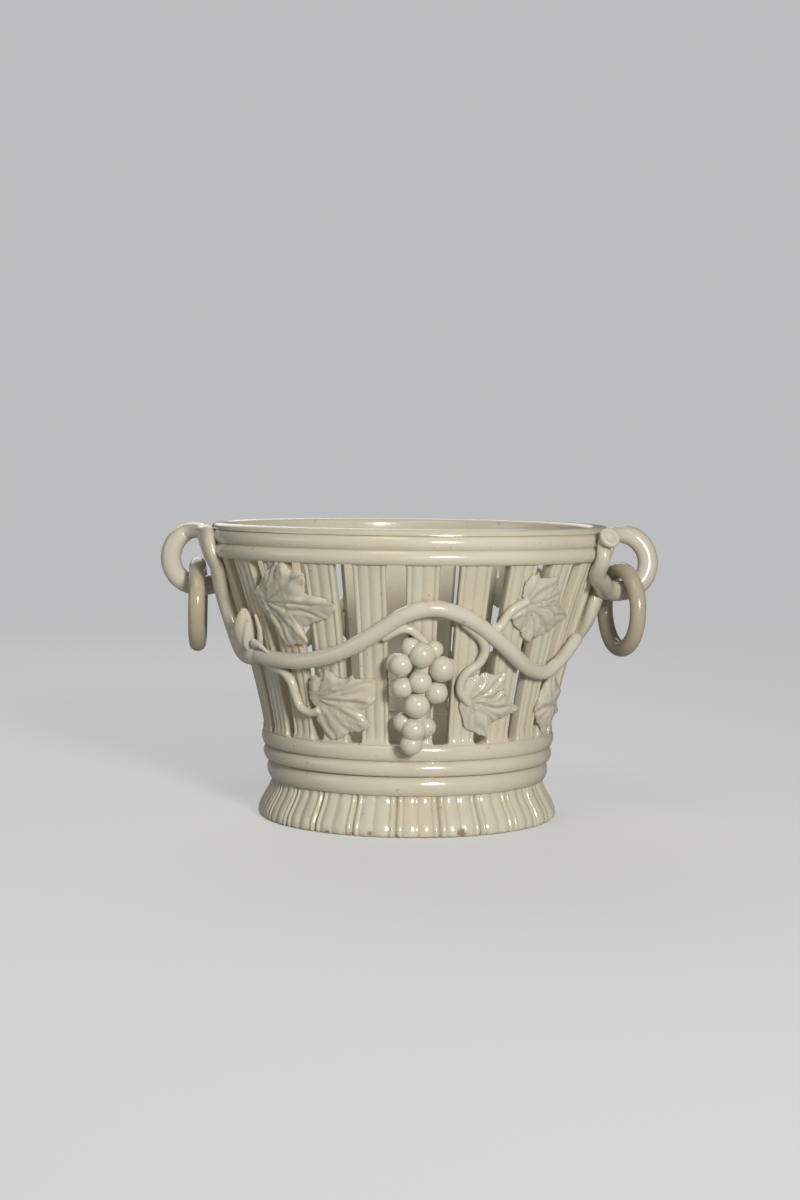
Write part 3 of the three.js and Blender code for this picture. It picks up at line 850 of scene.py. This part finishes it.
def onto_rim(share):
    """How far a place has come from the wall on to the rim, by its share of the handle's length."""
    return smooth((share - 0.22) / 0.14)


def into_loop(share):
    """How far a place has come from the rim into the loop."""
    return smooth((share - 0.38) / 0.08)


def handle_thickness(share, strap):
    """Thin inside the vine, a strap up the wall, spread on the rim, and thin again at the cut end."""
    on_wall = lerp(STRAP_START_DIAMETER, strap["width"], smooth(share / 0.055))
    on_rim = lerp(on_wall, STRAP_RIM_WIDTH, onto_rim(share))
    top = lerp(on_rim, LOOP_TOP_DIAMETER, into_loop(share))
    loop = lerp(top, HANDLE_DIAMETER, smooth((share - 0.49) / 0.08))
    return lerp(loop, TAIL_DIAMETER, smooth((share - 0.8) / 0.17))


def strap_flatness(share, strap):
    """How flat the rod is pressed on the wall and on the rim. It is round in the loop."""
    on_wall = lerp(1.0, strap["flat"], smooth(share / 0.08))
    on_rim = lerp(on_wall, STRAP_RIM_THICKNESS / STRAP_RIM_WIDTH, onto_rim(share))
    return lerp(on_rim, 1.0, into_loop(share))


def make_cut_end(end, away):
    """A short disc, a little wider than the rod, dished where the knife dragged the clay."""
    side = away.orthogonal().normalized()
    other = away.cross(side)
    rows = []
    for along, size, pool in CUT_END_ROWS:
        row = []
        for turn in turns(CUT_END_SIDES):
            around = side * math.cos(turn) + other * math.sin(turn)
            row.append((end + away * along + around * size * CUT_END_RADIUS, pool))
        rows.append(row)
    return drawn_out("cut_end", rows)


# %% The two handles
LEAVES_WALL_AT = 0.44


def make_handle(name, strap, turn):
    line, away = handle_line(strap)
    rolled = rod(
        "rolled", line, lambda share: handle_thickness(share, strap), sides=24,
        flat=lambda share: strap_flatness(share, strap), pool_below=0.35, leaves_wall=LEAVES_WALL_AT)
    handle = joined(name, [rolled, make_cut_end(line[-1], away)])
    handle.data.transform(Matrix.Rotation(math.radians(turn), 4, "Z"))
    return handle


finish_piece(make_handle("handle_left_rolled", LEFT_STRAP, 0), "relief_glaze", ["handle_left"])
finish_piece(make_handle("handle_right_rolled", RIGHT_STRAP, 180), "relief_glaze", ["handle_right"])

# %% [markdown]
# ## The loose rings
# Each ring was rolled, joined and hung in the loop before firing. It is a torus whose thickness and
# plane waver a little, as in a rod bent by hand. It hangs where the CAD model has its own.

# %% The rings
RING_MIDDLE_RADIUS = 16
RING_CORD_RADIUS = 3.45
RING_SIDES = 96
RING_CORD_SIDES = 28
RING_SWAY = 0.25
LEFT_RING_TURN = 3
RIGHT_RING_TURN = 199


def make_ring(name, node, turn, seed):
    """A ring in the middle of its CAD node's box. The seed chooses how it wavers."""
    low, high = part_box(node)
    middle = (low + high) / 2
    bpy.ops.object.select_all(action="DESELECT")
    bpy.ops.mesh.primitive_torus_add(
        major_segments=RING_SIDES, minor_segments=RING_CORD_SIDES, major_radius=RING_MIDDLE_RADIUS * MM,
        minor_radius=RING_CORD_RADIUS * MM)
    obj = bpy.context.object
    obj.name = name
    upright = Matrix.Rotation(math.radians(turn), 4, "Z") @ Matrix.Rotation(math.radians(90), 4, "Y")
    for vert in obj.data.vertices:
        along = math.atan2(vert.co.y, vert.co.x)
        core = Vector((math.cos(along), math.sin(along), 0)) * RING_MIDDLE_RADIUS * MM
        wave = noise.noise(Vector((math.cos(along) * 1.3, math.sin(along) * 1.3, seed)))
        vert.co = core + (vert.co - core) * (0.97 + 0.05 * wave)
        sway = noise.noise(Vector((math.cos(along), math.sin(along), seed + 5)))
        vert.co.z += RING_SWAY * MM * sway
        vert.co = upright @ vert.co + middle
    obj.location = (0, 0, 0)
    return obj


left = make_ring("ring_left_rolled", "ring_left", LEFT_RING_TURN, 1.5)
finish_piece(left, "ring_glaze", ["ring_left"], "left_ring")
right = make_ring("ring_right_rolled", "ring_right", RIGHT_RING_TURN, 7.5)
finish_piece(right, "ring_glaze", ["ring_right"], "right_ring")

# %% [markdown]
# ## The grapes
# The bunch is balls of clay pressed on in two layers. One grape is modelled from a sphere, flattened a
# little as it was pressed on, and each grape of the bunch is a copy of it, turned and made larger or
# smaller. A thick rod behind them fills the hollows.

# %% The bunches
GRAPE_DIAMETER = 9
GRAPE_FLATNESS = 0.96
GRAPE_LAYER_STEP = 3
BUNCH_MIDDLE = (4, 0.3)
CORE_DIAMETER = 7.5
CORE_STANDOFF = 4.2
# grapes are given as way across, way up, and diameter
BACK_GRAPES = [
    (-9.2, 11.6, 8), (-4.2, 18, 7.4), (4, 17.2, 7), (8.9, 9.5, 8.6), (-6, -11.1, 7.8), (2, -13, 7.8),
]
FRONT_GRAPES = [
    (-0.4, 15.3, 9.8), (-7.4, 11.4, 8.8), (6.5, 9.9, 9.8), (-0.8, 5, 9), (-6.7, 2.8, 8.2),
    (4.9, 0.8, 8.6), (-1.6, -4.2, 10), (-2.4, -13.6, 9.2), (-3, -19.4, 8.6),
]
BUNCH_COURSE = [(0, 16.8), (0, 7), (-0.6, -5.6), (-2.3, -16.8)]


def in_bunch(across, up, standoff):
    """A place by its way across and up from the middle of the bunch, along the wall."""
    height = BUNCH_MIDDLE[1] * SLAT_HEIGHT + up
    angle = BUNCH_MIDDLE[0] + math.degrees(across / wall_radius(height))
    return on_wall(angle, height, standoff)


def make_grape():
    bpy.ops.object.select_all(action="DESELECT")
    bpy.ops.mesh.primitive_uv_sphere_add(segments=32, ring_count=18, radius=GRAPE_DIAMETER / 2 * MM)
    grape = bpy.context.object
    pool = grape.data.attributes.new("pool", "FLOAT", "POINT")
    for vert, value in zip(grape.data.vertices, pool.data):
        vert.co.z *= GRAPE_FLATNESS
        value.value = 0.8 * smooth((-vert.co.z / (GRAPE_DIAMETER / 2 * MM) - 0.1) / 0.8)
    return grape


def lay_grape(model, spot, diameter, number):
    """A copy of the model at a spot, with its underside towards the wall."""
    grape = copied(model, f"grape_{number}")
    size = diameter / GRAPE_DIAMETER
    turn = outward_at(spot).to_track_quat("Z", "Y").to_matrix().to_4x4()
    spin = Matrix.Rotation(number * 1.3, 4, "Z")
    grape.data.transform(Matrix.Translation(spot * MM) @ turn @ spin @ Matrix.Scale(size, 4))
    return grape


def make_bunch():
    model = make_grape()
    parts = []
    for layer, grapes in enumerate((BACK_GRAPES, FRONT_GRAPES)):
        for across, up, diameter in grapes:
            spot = in_bunch(across, up, GRAPE_DIAMETER / 2 + layer * GRAPE_LAYER_STEP)
            parts.append(lay_grape(model, spot, diameter, len(parts)))
    course = smooth_course([in_bunch(across, up, CORE_STANDOFF) for across, up in BUNCH_COURSE])
    core = rod("core", course, lambda share: CORE_DIAMETER, sides=14, pool_below=1)
    bpy.data.objects.remove(model, do_unlink=True)
    return joined("grapes_front_pressed", [*parts, core])


finish_both_sides(make_bunch(), "grapes_front")

# %% [markdown]
# ## The leaves
# A vine leaf was pressed thin, laid over the slats and worked with a tool: veins are scored, the blade
# between them is puffed up, and the tips are left to curl. Each leaf is a sheet drawn in from its
# outline to its middle. Grooves follow lines and puffs sit at points, both in millimetres from the
# middle of the leaf. Folds and wrinkles fan out from its root, and the glaze pools wherever a groove
# or a wrinkle is deep.

# %% Outlines, veins, puffs and curls of the leaves
# puffs are x, y, reach and height; curls are x, y, reach and how far they stand off the wall
LEAVES = [
    {
        "name": "upper_left", "angle": -39, "height": 0.764, "root": (-11, 1),
        "outline": [
            (22, 0), (17.9, 3.1), (12.8, 4.1), (9.1, 5), (10.9, 12.1), (9.3, 13.3), (5, 13), (2.9, 16.5),
            (-0.4, 16.5), (-5.5, 13.5), (-11.2, 8.9), (-17.1, 3.9), (-15.2, -3.3), (-10.1, -9.5),
            (-7.2, -14.3), (-2.9, -16), (6.9, -14.8), (5, -9.2), (10.5, -6.8), (16.6, -4.6),
            (19.5, -2.6),
        ],
        "veins": [(21, 0), (10, 12), (0.5, 15.5), (-5, 13), (6.5, -14.5), (-2.5, -15.5), (16, -4.5)],
        "puffs": [
            (14, 2, 4.5, 1.4), (7.5, 11.5, 3, 1), (5, 6, 3, 0.9), (3, -11.5, 3.5, 1.1), (1.5, 14, 2.5, 0.8),
            (-8, 7.5, 3.5, 0.5),
        ],
        "curls": [(21, 0, 5, 1.2), (7, -14, 4, 1), (-17, 4, 2.5, 0.6), (10, 12, 3, 0.6)],
    },
    {
        "name": "lower_left", "angle": -24, "height": 0.257, "root": (-12, -1),
        "outline": [
            (14.1, 7.9), (6.5, 7.8), (5.6, 9.4), (3.9, 8.1), (0.2, 7.8), (-4.5, 10.9), (-7.6, 9.7),
            (-8.6, 7.3), (-10.8, 8.7), (-13.8, 4.2), (-14.2, -1), (-11.9, -4.4), (-12.2, -9.5),
            (-7.3, -16.1), (-3.2, -16.7), (2.4, -13.7), (11.1, -11), (8.4, -5.1), (11.2, -2.6),
            (13.7, -0.2),
        ],
        "veins": [(13.5, 7.5), (5, 8.5), (-5, 10.5), (11, -1.5), (10.5, -10.5), (2, -13), (-4, -16)],
        "puffs": [(-12, 4.5, 3.5, 0.8), (8, -9.5, 2.5, 1), (9.5, -2, 2.5, 0.9), (1, 3, 5, 0.4)],
        "curls": [(11, -11, 4, 0.9), (11, -2, 3, 0.9), (5, 9, 2, 0.6), (14, 8, 3, 0.4), (-4, -17, 3, 0.5)],
    },
    {
        "name": "lower_right", "angle": 27, "height": 0.24, "root": (-7, -0.5),
        "outline": [
            (17.4, -3.1), (13.1, -1.1), (10.9, 0.6), (8.6, 4.5), (8.2, 7), (7.7, 11), (2.8, 10.8),
            (-0.9, 11.9), (-3.1, 10.7), (-5.3, 11.3), (-8.2, 9.4), (-9.7, 5.1), (-9.8, -2.2), (-6.6, -10),
            (-2.2, -11.9), (3.3, -14), (3.1, -9.4), (8.3, -7.2), (14.4, -5),
        ],
        "veins": [(16.5, -3), (8.5, 5), (7, 10.5), (-1, 11.5), (3, -13.5), (-3, -11.5), (8, -7)],
        "puffs": [(-1.5, 5, 5, 0.5), (-2.5, -8, 4, 0.6), (6, -2, 5, 0.5), (8, 3.5, 2, 0.8)],
        "curls": [(17, -3, 4, 0.8), (3, -13.5, 3, 0.8), (8, 11, 3, 0.6)],
    },
    {
        "name": "upper_right", "angle": 42, "height": 0.757, "root": (-7.5, 2),
        "outline": [
            (19.7, -3.5), (13.8, -0.1), (10.3, 4.1), (10.1, 6.1), (6.5, 8.8), (5.5, 12.1), (-3.4, 11.8),
            (-4.7, 13.9), (-6.8, 12.9), (-9.5, 10.3), (-9.5, 5), (-7.6, 2.3), (-12, -0.1), (-13.2, -3.6),
            (-8.7, -7.8), (-6.6, -8.6), (-4.4, -11.5), (-1.4, -13.1), (1.1, -11.7), (8, -10.6),
            (11.3, -8.2), (17.5, -6),
        ],
        "veins": [
            (18.5, -4), (10, 4.5), (5.5, 11), (-4.5, 13), (8, -10), (1.5, -11.5), (-4, -11), (-12, -3),
        ],
        "puffs": [(-9.5, -1, 3.5, 1), (-6.5, 9, 4, 0.9), (6.5, -4, 3, 0.5), (9.5, -2, 3, 0.5)],
        "curls": [(-13, -3, 4, 0.7), (19, -4, 4, 0.5)],
    },
    {
        "name": "far_right", "angle": 62, "height": 0.2, "root": (2, -1),
        "outline": [
            (10.3, 3.8), (3.9, 8.3), (-4.3, 11.7), (-7.5, 3.8), (-8.7, -2.5), (-4.5, -7.8), (3.6, -13.5),
            (7.3, -8.4), (13.3, -5.7), (10, -0.3),
        ],
        "veins": [(9.5, 3.5), (-3.5, 11), (-8, -2), (3.5, -13), (12.5, -5.5)],
        "puffs": [(4, 4, 4, 0.9), (-4, 4, 4, 0.5), (0, -6, 4, 0.7)],
        "curls": [(13, -5, 4, 0.6), (-4, 11, 3, 0.5)],
    },
]


print("leaves on each side:", [leaf["name"] for leaf in LEAVES])


# %% The outline and the relief of a leaf
LEAF_CROWN = 1.4
OUTLINE_SOFTNESS = 0.5
VEIN_DEPTH = 0.4
VEIN_REACH = 0.7
VEIN_SWAY = 2.2
BANK_AWAY = 1.6
BANK_REACH = 1.3
FOLD_HEIGHT = 0.7
WRINKLE_HEIGHT = 0.35
GRAIN_HEIGHT = 0.25


def rounded_outline(corners, samples=8):
    """The outline as a closed smooth line whose corners keep most of their point."""
    count = len(corners)
    points = []
    for at in range(count):
        before, start, end, after = (Vector(corners[(at + step) % count]) for step in (-1, 0, 1, 2))
        for step in range(samples):
            t = step / samples
            straight = start.lerp(end, t)
            bend = (start * 2 + (end - before) * t + (before * 2 - start * 5 + end * 4 - after) * t * t
                    + (start * 3 - before - end * 3 + after) * t ** 3) / 2
            spot = straight.lerp(bend, OUTLINE_SOFTNESS)
            jag = 0.6 * noise.noise(Vector((spot.x * 0.6, spot.y * 0.6, count)))
            jag += 0.55 * noise.noise(Vector((spot.x * 1.4, spot.y * 1.4, count)))
            points.append(spot * (1 + jag / spot.length))
    return points


def distance_to_vein(spot, root, tip):
    run = tip - root
    share = min(1, max(0, (spot - root).dot(run) / run.length_squared))
    return (spot - root - run * share).length


def leaf_relief(leaf, spot, share):
    """Height of the worked front above the sheet, and how deep in a vein or wrinkle it lies."""
    relief = LEAF_CROWN * (1 - share ** 2.6) ** 0.8
    for x, y, reach, height in leaf["puffs"]:
        relief += height * hump((spot - Vector((x, y))).length, reach) * (1 - share ** 6)
    root = Vector(leaf["root"])
    sway = Vector((spot.x * 0.12, spot.y * 0.12, leaf["angle"]))
    spot = spot + Vector((noise.noise(sway), noise.noise(sway + Vector((9, 9, 0))))) * VEIN_SWAY
    nearest = min(distance_to_vein(spot, root, Vector(tip)) for tip in leaf["veins"])
    groove = hump(nearest, VEIN_REACH)
    bank = hump(nearest - BANK_AWAY, BANK_REACH)
    relief += VEIN_DEPTH * (bank - groove) * (1 - 0.5 * share ** 4)
    # wrinkles run outward from the root of the leaf, as the tool dragged the clay
    away = spot - root
    way = away.normalized()
    fan = Vector((way.x * 3, way.y * 3, away.length * 0.09 + leaf["angle"]))
    fine = Vector((way.x * 8, way.y * 8, away.length * 0.16 + leaf["angle"]))
    relief += FOLD_HEIGHT * noise.noise(fan) * min(1, away.length / 4)
    wrinkle = noise.noise(fine) * min(1, away.length / 6)
    relief += WRINKLE_HEIGHT * wrinkle
    relief += GRAIN_HEIGHT * noise.noise(Vector((spot.x * 0.5, spot.y * 0.5, leaf["angle"])))
    return relief, max(groove, -1.6 * wrinkle)


def leaf_curl(leaf, spot):
    """How far the whole sheet stands off the wall, where a tip curls out."""
    curls = leaf["curls"]
    return sum(height * hump((spot - Vector((x, y))).length, reach) for x, y, reach, height in curls)


# %% The leaves
LEAF_EDGE = 1.0
LEAF_BACK_SHARES = (0.03, 0.5, 0.9, 0.97)
LEAF_FRONT_SHARES = (
    0.985, 0.955, 0.91, 0.85, 0.79, 0.73, 0.66, 0.59, 0.52, 0.45, 0.38, 0.31, 0.24, 0.17, 0.1, 0.04,
)


def leaf_row(leaf, outline, share, part):
    """The outline drawn in to a share of its size, on the back, at the edge or on the front."""
    centre = leaf["height"] * SLAT_HEIGHT
    row = []
    for corner in outline:
        spot = corner * share
        level = min(SLAT_HEIGHT - 0.2, max(0.2, centre + spot.y))
        angle = leaf["angle"] + math.degrees(spot.x / wall_radius(centre))
        lift = 0.1 + leaf_curl(leaf, spot)
        pool = 0.3
        if part == "front":
            relief, groove = leaf_relief(leaf, spot, share)
            lift += LEAF_EDGE + relief
            pool = 0.6 * groove
        elif part == "edge":
            lift += LEAF_EDGE * 0.5
        row.append((on_wall(angle, level, lift), pool))
    return row


def make_leaf(leaf):
    outline = rounded_outline(leaf["outline"])
    rows = [leaf_row(leaf, outline, share, "back") for share in LEAF_BACK_SHARES]
    rows.append(leaf_row(leaf, outline, 1.0, "edge"))
    rows += [leaf_row(leaf, outline, share, "front") for share in LEAF_FRONT_SHARES]
    return drawn_out(f"leaf_front_{leaf['name']}_pressed", rows)


for leaf in LEAVES:
    finish_both_sides(make_leaf(leaf), f"leaf_front_{leaf['name']}")

# %% [markdown]
# ## The buds
# Where the vine turns up into the handle, a bud sits in the fork. Three petals wrap round it one over
# the next, so its rows follow a spiral saw-tooth. A thin sepal hugs its side, and a small pointed one
# lies down over the vine.

# %% A bud
BUD_COURSE = [(-62.3, 0.475), (-63.3, 0.53), (-62.4, 0.6), (-60.8, 0.665), (-59.2, 0.722)]
BUD_DIAMETER = 9.6
BUD_PETALS = 3
PETAL_SPIRAL = 0.9
BUD_SIDES = 96
BUD_STANDOFF = 3.4
# sepals, as standoff, diameters at their foot and tip, flatness and course
SEPALS = [
    (1.6, 4.2, 1.6, 0.7, [(-60, 0.49), (-57, 0.54), (-55.3, 0.61), (-55.6, 0.69)]),
    (4, 3.4, 0.9, 0.8, [(-58, 0.53), (-54.5, 0.52), (-50.5, 0.482)]),
]


def bud_width(share):
    """Full low down, and drawn in to a narrow tip."""
    return BUD_DIAMETER * math.sin(math.pi * (0.14 + 0.79 * share ** 0.9))


def make_bud():
    line = smooth_course(flat_course(BUD_COURSE, BUD_STANDOFF, samples=3), samples=5)
    rows = []
    for at, middle in enumerate(line):
        share = at / (len(line) - 1)
        outward = outward_at(middle)
        sideways = outward.cross(Vector((0, 0, 1)))
        row = []
        for step in range(BUD_SIDES):
            turn = 2 * math.pi * step / BUD_SIDES
            across = (BUD_PETALS * step / BUD_SIDES + PETAL_SPIRAL * share) % 1
            petal = across ** 0.6 * smooth((1 - across) / 0.2)
            radius = bud_width(share) / 2 * (0.82 + 0.24 * petal)
            spot = middle + outward * math.cos(turn) * radius + sideways * math.sin(turn) * radius
            row.append((spot, 0.7 * max(0, 1 - 3 * petal)))
        rows.append(row)
    parts = [drawn_out("bud_body", rows)]
    for standoff, foot, tip, flatness, course in SEPALS:
        line = smooth_course(flat_course(course, standoff, samples=3), samples=4)
        parts.append(rod("sepal", line, lambda share: lerp(foot, tip, share), sides=14, flat=flatness))
    return joined("bud_front_wrapped", parts)


finish_both_sides(make_bud(), "bud_front")

# %% [markdown]
# ## The floor of the pot
# The disc inside the lower band is plain, so the CAD solid stays and only takes the glaze.

# %% Glaze on the CAD solid
floor_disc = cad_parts["base_floor"]
floor_disc.data.materials.clear()
floor_disc.data.materials.append(GLAZES["body_glaze"])
print("floor disc:", floor_disc.name)

# %% [markdown]
# ## Floor, light and camera
# A pale floor that fades into a backdrop, a soft lamp from the front right, weaker ones from above and
# from the left, and a broad one from behind. The camera stands where the photographer's did, a little
# above the rim.

# %% The floor and the room
BACKDROP = (0.5, 0.505, 0.51)
PAPER = (0.4, 0.4, 0.395)
PAPER_GLOW = 0.85
PAPER_ROUGHNESS = 0.85
ROOM_LIGHT = (0.11, 0.111, 0.113)
FADE_START = 0.2
FADE_END = 1.1


def pale_stage(name, colour, glow):
    """Matte paper, a little brighter to the camera, that fades into the backdrop with distance."""
    material = bpy.data.materials.new(name)
    material.use_nodes = True
    tree = material.node_tree
    shader = tree.nodes["Principled BSDF"]
    shader.inputs["Base Color"].default_value = (*colour, 1)
    shader.inputs["Roughness"].default_value = PAPER_ROUGHNESS
    shader.inputs["Emission Color"].default_value = (*colour, 1)
    rays = add_node(tree, "ShaderNodeLightPath")
    glowing = calculated(tree, "MULTIPLY", rays.outputs["Is Camera Ray"], glow)
    tree.links.new(glowing, shader.inputs["Emission Strength"])
    spot = add_node(tree, "ShaderNodeTexCoord")
    length = add_node(tree, "ShaderNodeVectorMath", operation="LENGTH")
    tree.links.new(spot.outputs["Object"], length.inputs[0])
    distant = remapped(
        tree, length.outputs["Value"], FADE_START, FADE_END, interpolation_type="SMOOTHSTEP")
    faded = calculated(tree, "MULTIPLY", distant, rays.outputs["Is Camera Ray"])
    far = add_node(tree, "ShaderNodeEmission")
    far.inputs["Color"].default_value = (*BACKDROP, 1)
    mix = add_node(tree, "ShaderNodeMixShader")
    tree.links.new(faded, mix.inputs["Fac"])
    tree.links.new(shader.outputs["BSDF"], mix.inputs[1])
    tree.links.new(far.outputs["Emission"], mix.inputs[2])
    tree.links.new(mix.outputs["Shader"], tree.nodes["Material Output"].inputs["Surface"])
    return material


bpy.ops.object.select_all(action="DESELECT")
bpy.ops.mesh.primitive_plane_add(size=40, location=(0, 0, 0))
ground = bpy.context.object
ground.name = "ground"
ground.data.materials.append(pale_stage("pale paper", PAPER, PAPER_GLOW))

world = bpy.data.worlds.new("room")
world.use_nodes = True
room = world.node_tree
rays = add_node(room, "ShaderNodeLightPath")
seen = add_node(room, "ShaderNodeMix", data_type="RGBA")
seen.inputs["A"].default_value = (*ROOM_LIGHT, 1)
seen.inputs["B"].default_value = (*BACKDROP, 1)
room.links.new(rays.outputs["Is Camera Ray"], seen.inputs["Factor"])
room.links.new(seen.outputs["Result"], room.nodes["Background"].inputs["Color"])
room.nodes["Background"].inputs["Strength"].default_value = 1.0
bpy.context.scene.world = world
print("stage:", ground.name, world.name)

# %% The lamps
LAMP_AIM = Vector((0, 0, 0.06))


def soft_lamp(name, place_m, size, power, colour):
    """A round lamp with a diameter in metres and a power in watts, aimed at the pot."""
    light = bpy.data.lights.new(name, "AREA")
    light.shape = "DISK"
    light.size = size
    light.energy = power
    light.color = colour
    lamp = bpy.data.objects.new(name, light)
    lamp.location = place_m
    aim = LAMP_AIM - Vector(place_m)
    lamp.rotation_euler = aim.to_track_quat("-Z", "Y").to_euler()
    bpy.context.collection.objects.link(lamp)
    print("lamp:", name, power, "W")


soft_lamp("key", (0.45, -1.25, 0.45), 0.28, 14.5, (1.0, 0.98, 0.95))
soft_lamp("upper", (-0.2, -0.6, 1.1), 0.4, 1.6, (1.0, 0.99, 0.97))
soft_lamp("fill", (-1.1, -0.4, 0.35), 0.6, 1.3, (0.97, 0.98, 1.0))
soft_lamp("back", (-0.3, 1.2, 0.85), 1.2, 6.5, (1.0, 0.99, 0.97))

# %% The camera, and the end
CAMERA_DISTANCE = 0.8413
CAMERA_HEIGHT = 0.1424
CAMERA_ASIDE = -0.0037
TILT = 0.0652
ROLL = 0.0109
FOCAL_PIXELS = 2061
LONG_SIDE_PIXELS = 1200
SENSOR_WIDTH = 36
camera_data = bpy.data.cameras.new("camera")
camera_data.sensor_width = SENSOR_WIDTH
camera_data.lens = FOCAL_PIXELS * SENSOR_WIDTH / LONG_SIDE_PIXELS
camera_data.clip_start = 0.01
camera = bpy.data.objects.new("camera", camera_data)
camera.location = (CAMERA_ASIDE, -CAMERA_DISTANCE, CAMERA_HEIGHT)
look = Matrix.Rotation(math.pi / 2 - TILT, 3, "X") @ Matrix.Rotation(ROLL, 3, "Z")
camera.rotation_euler = look.to_euler()
bpy.context.collection.objects.link(camera)
bpy.context.scene.camera = camera
bpy.context.scene.view_settings.view_transform = "Standard"
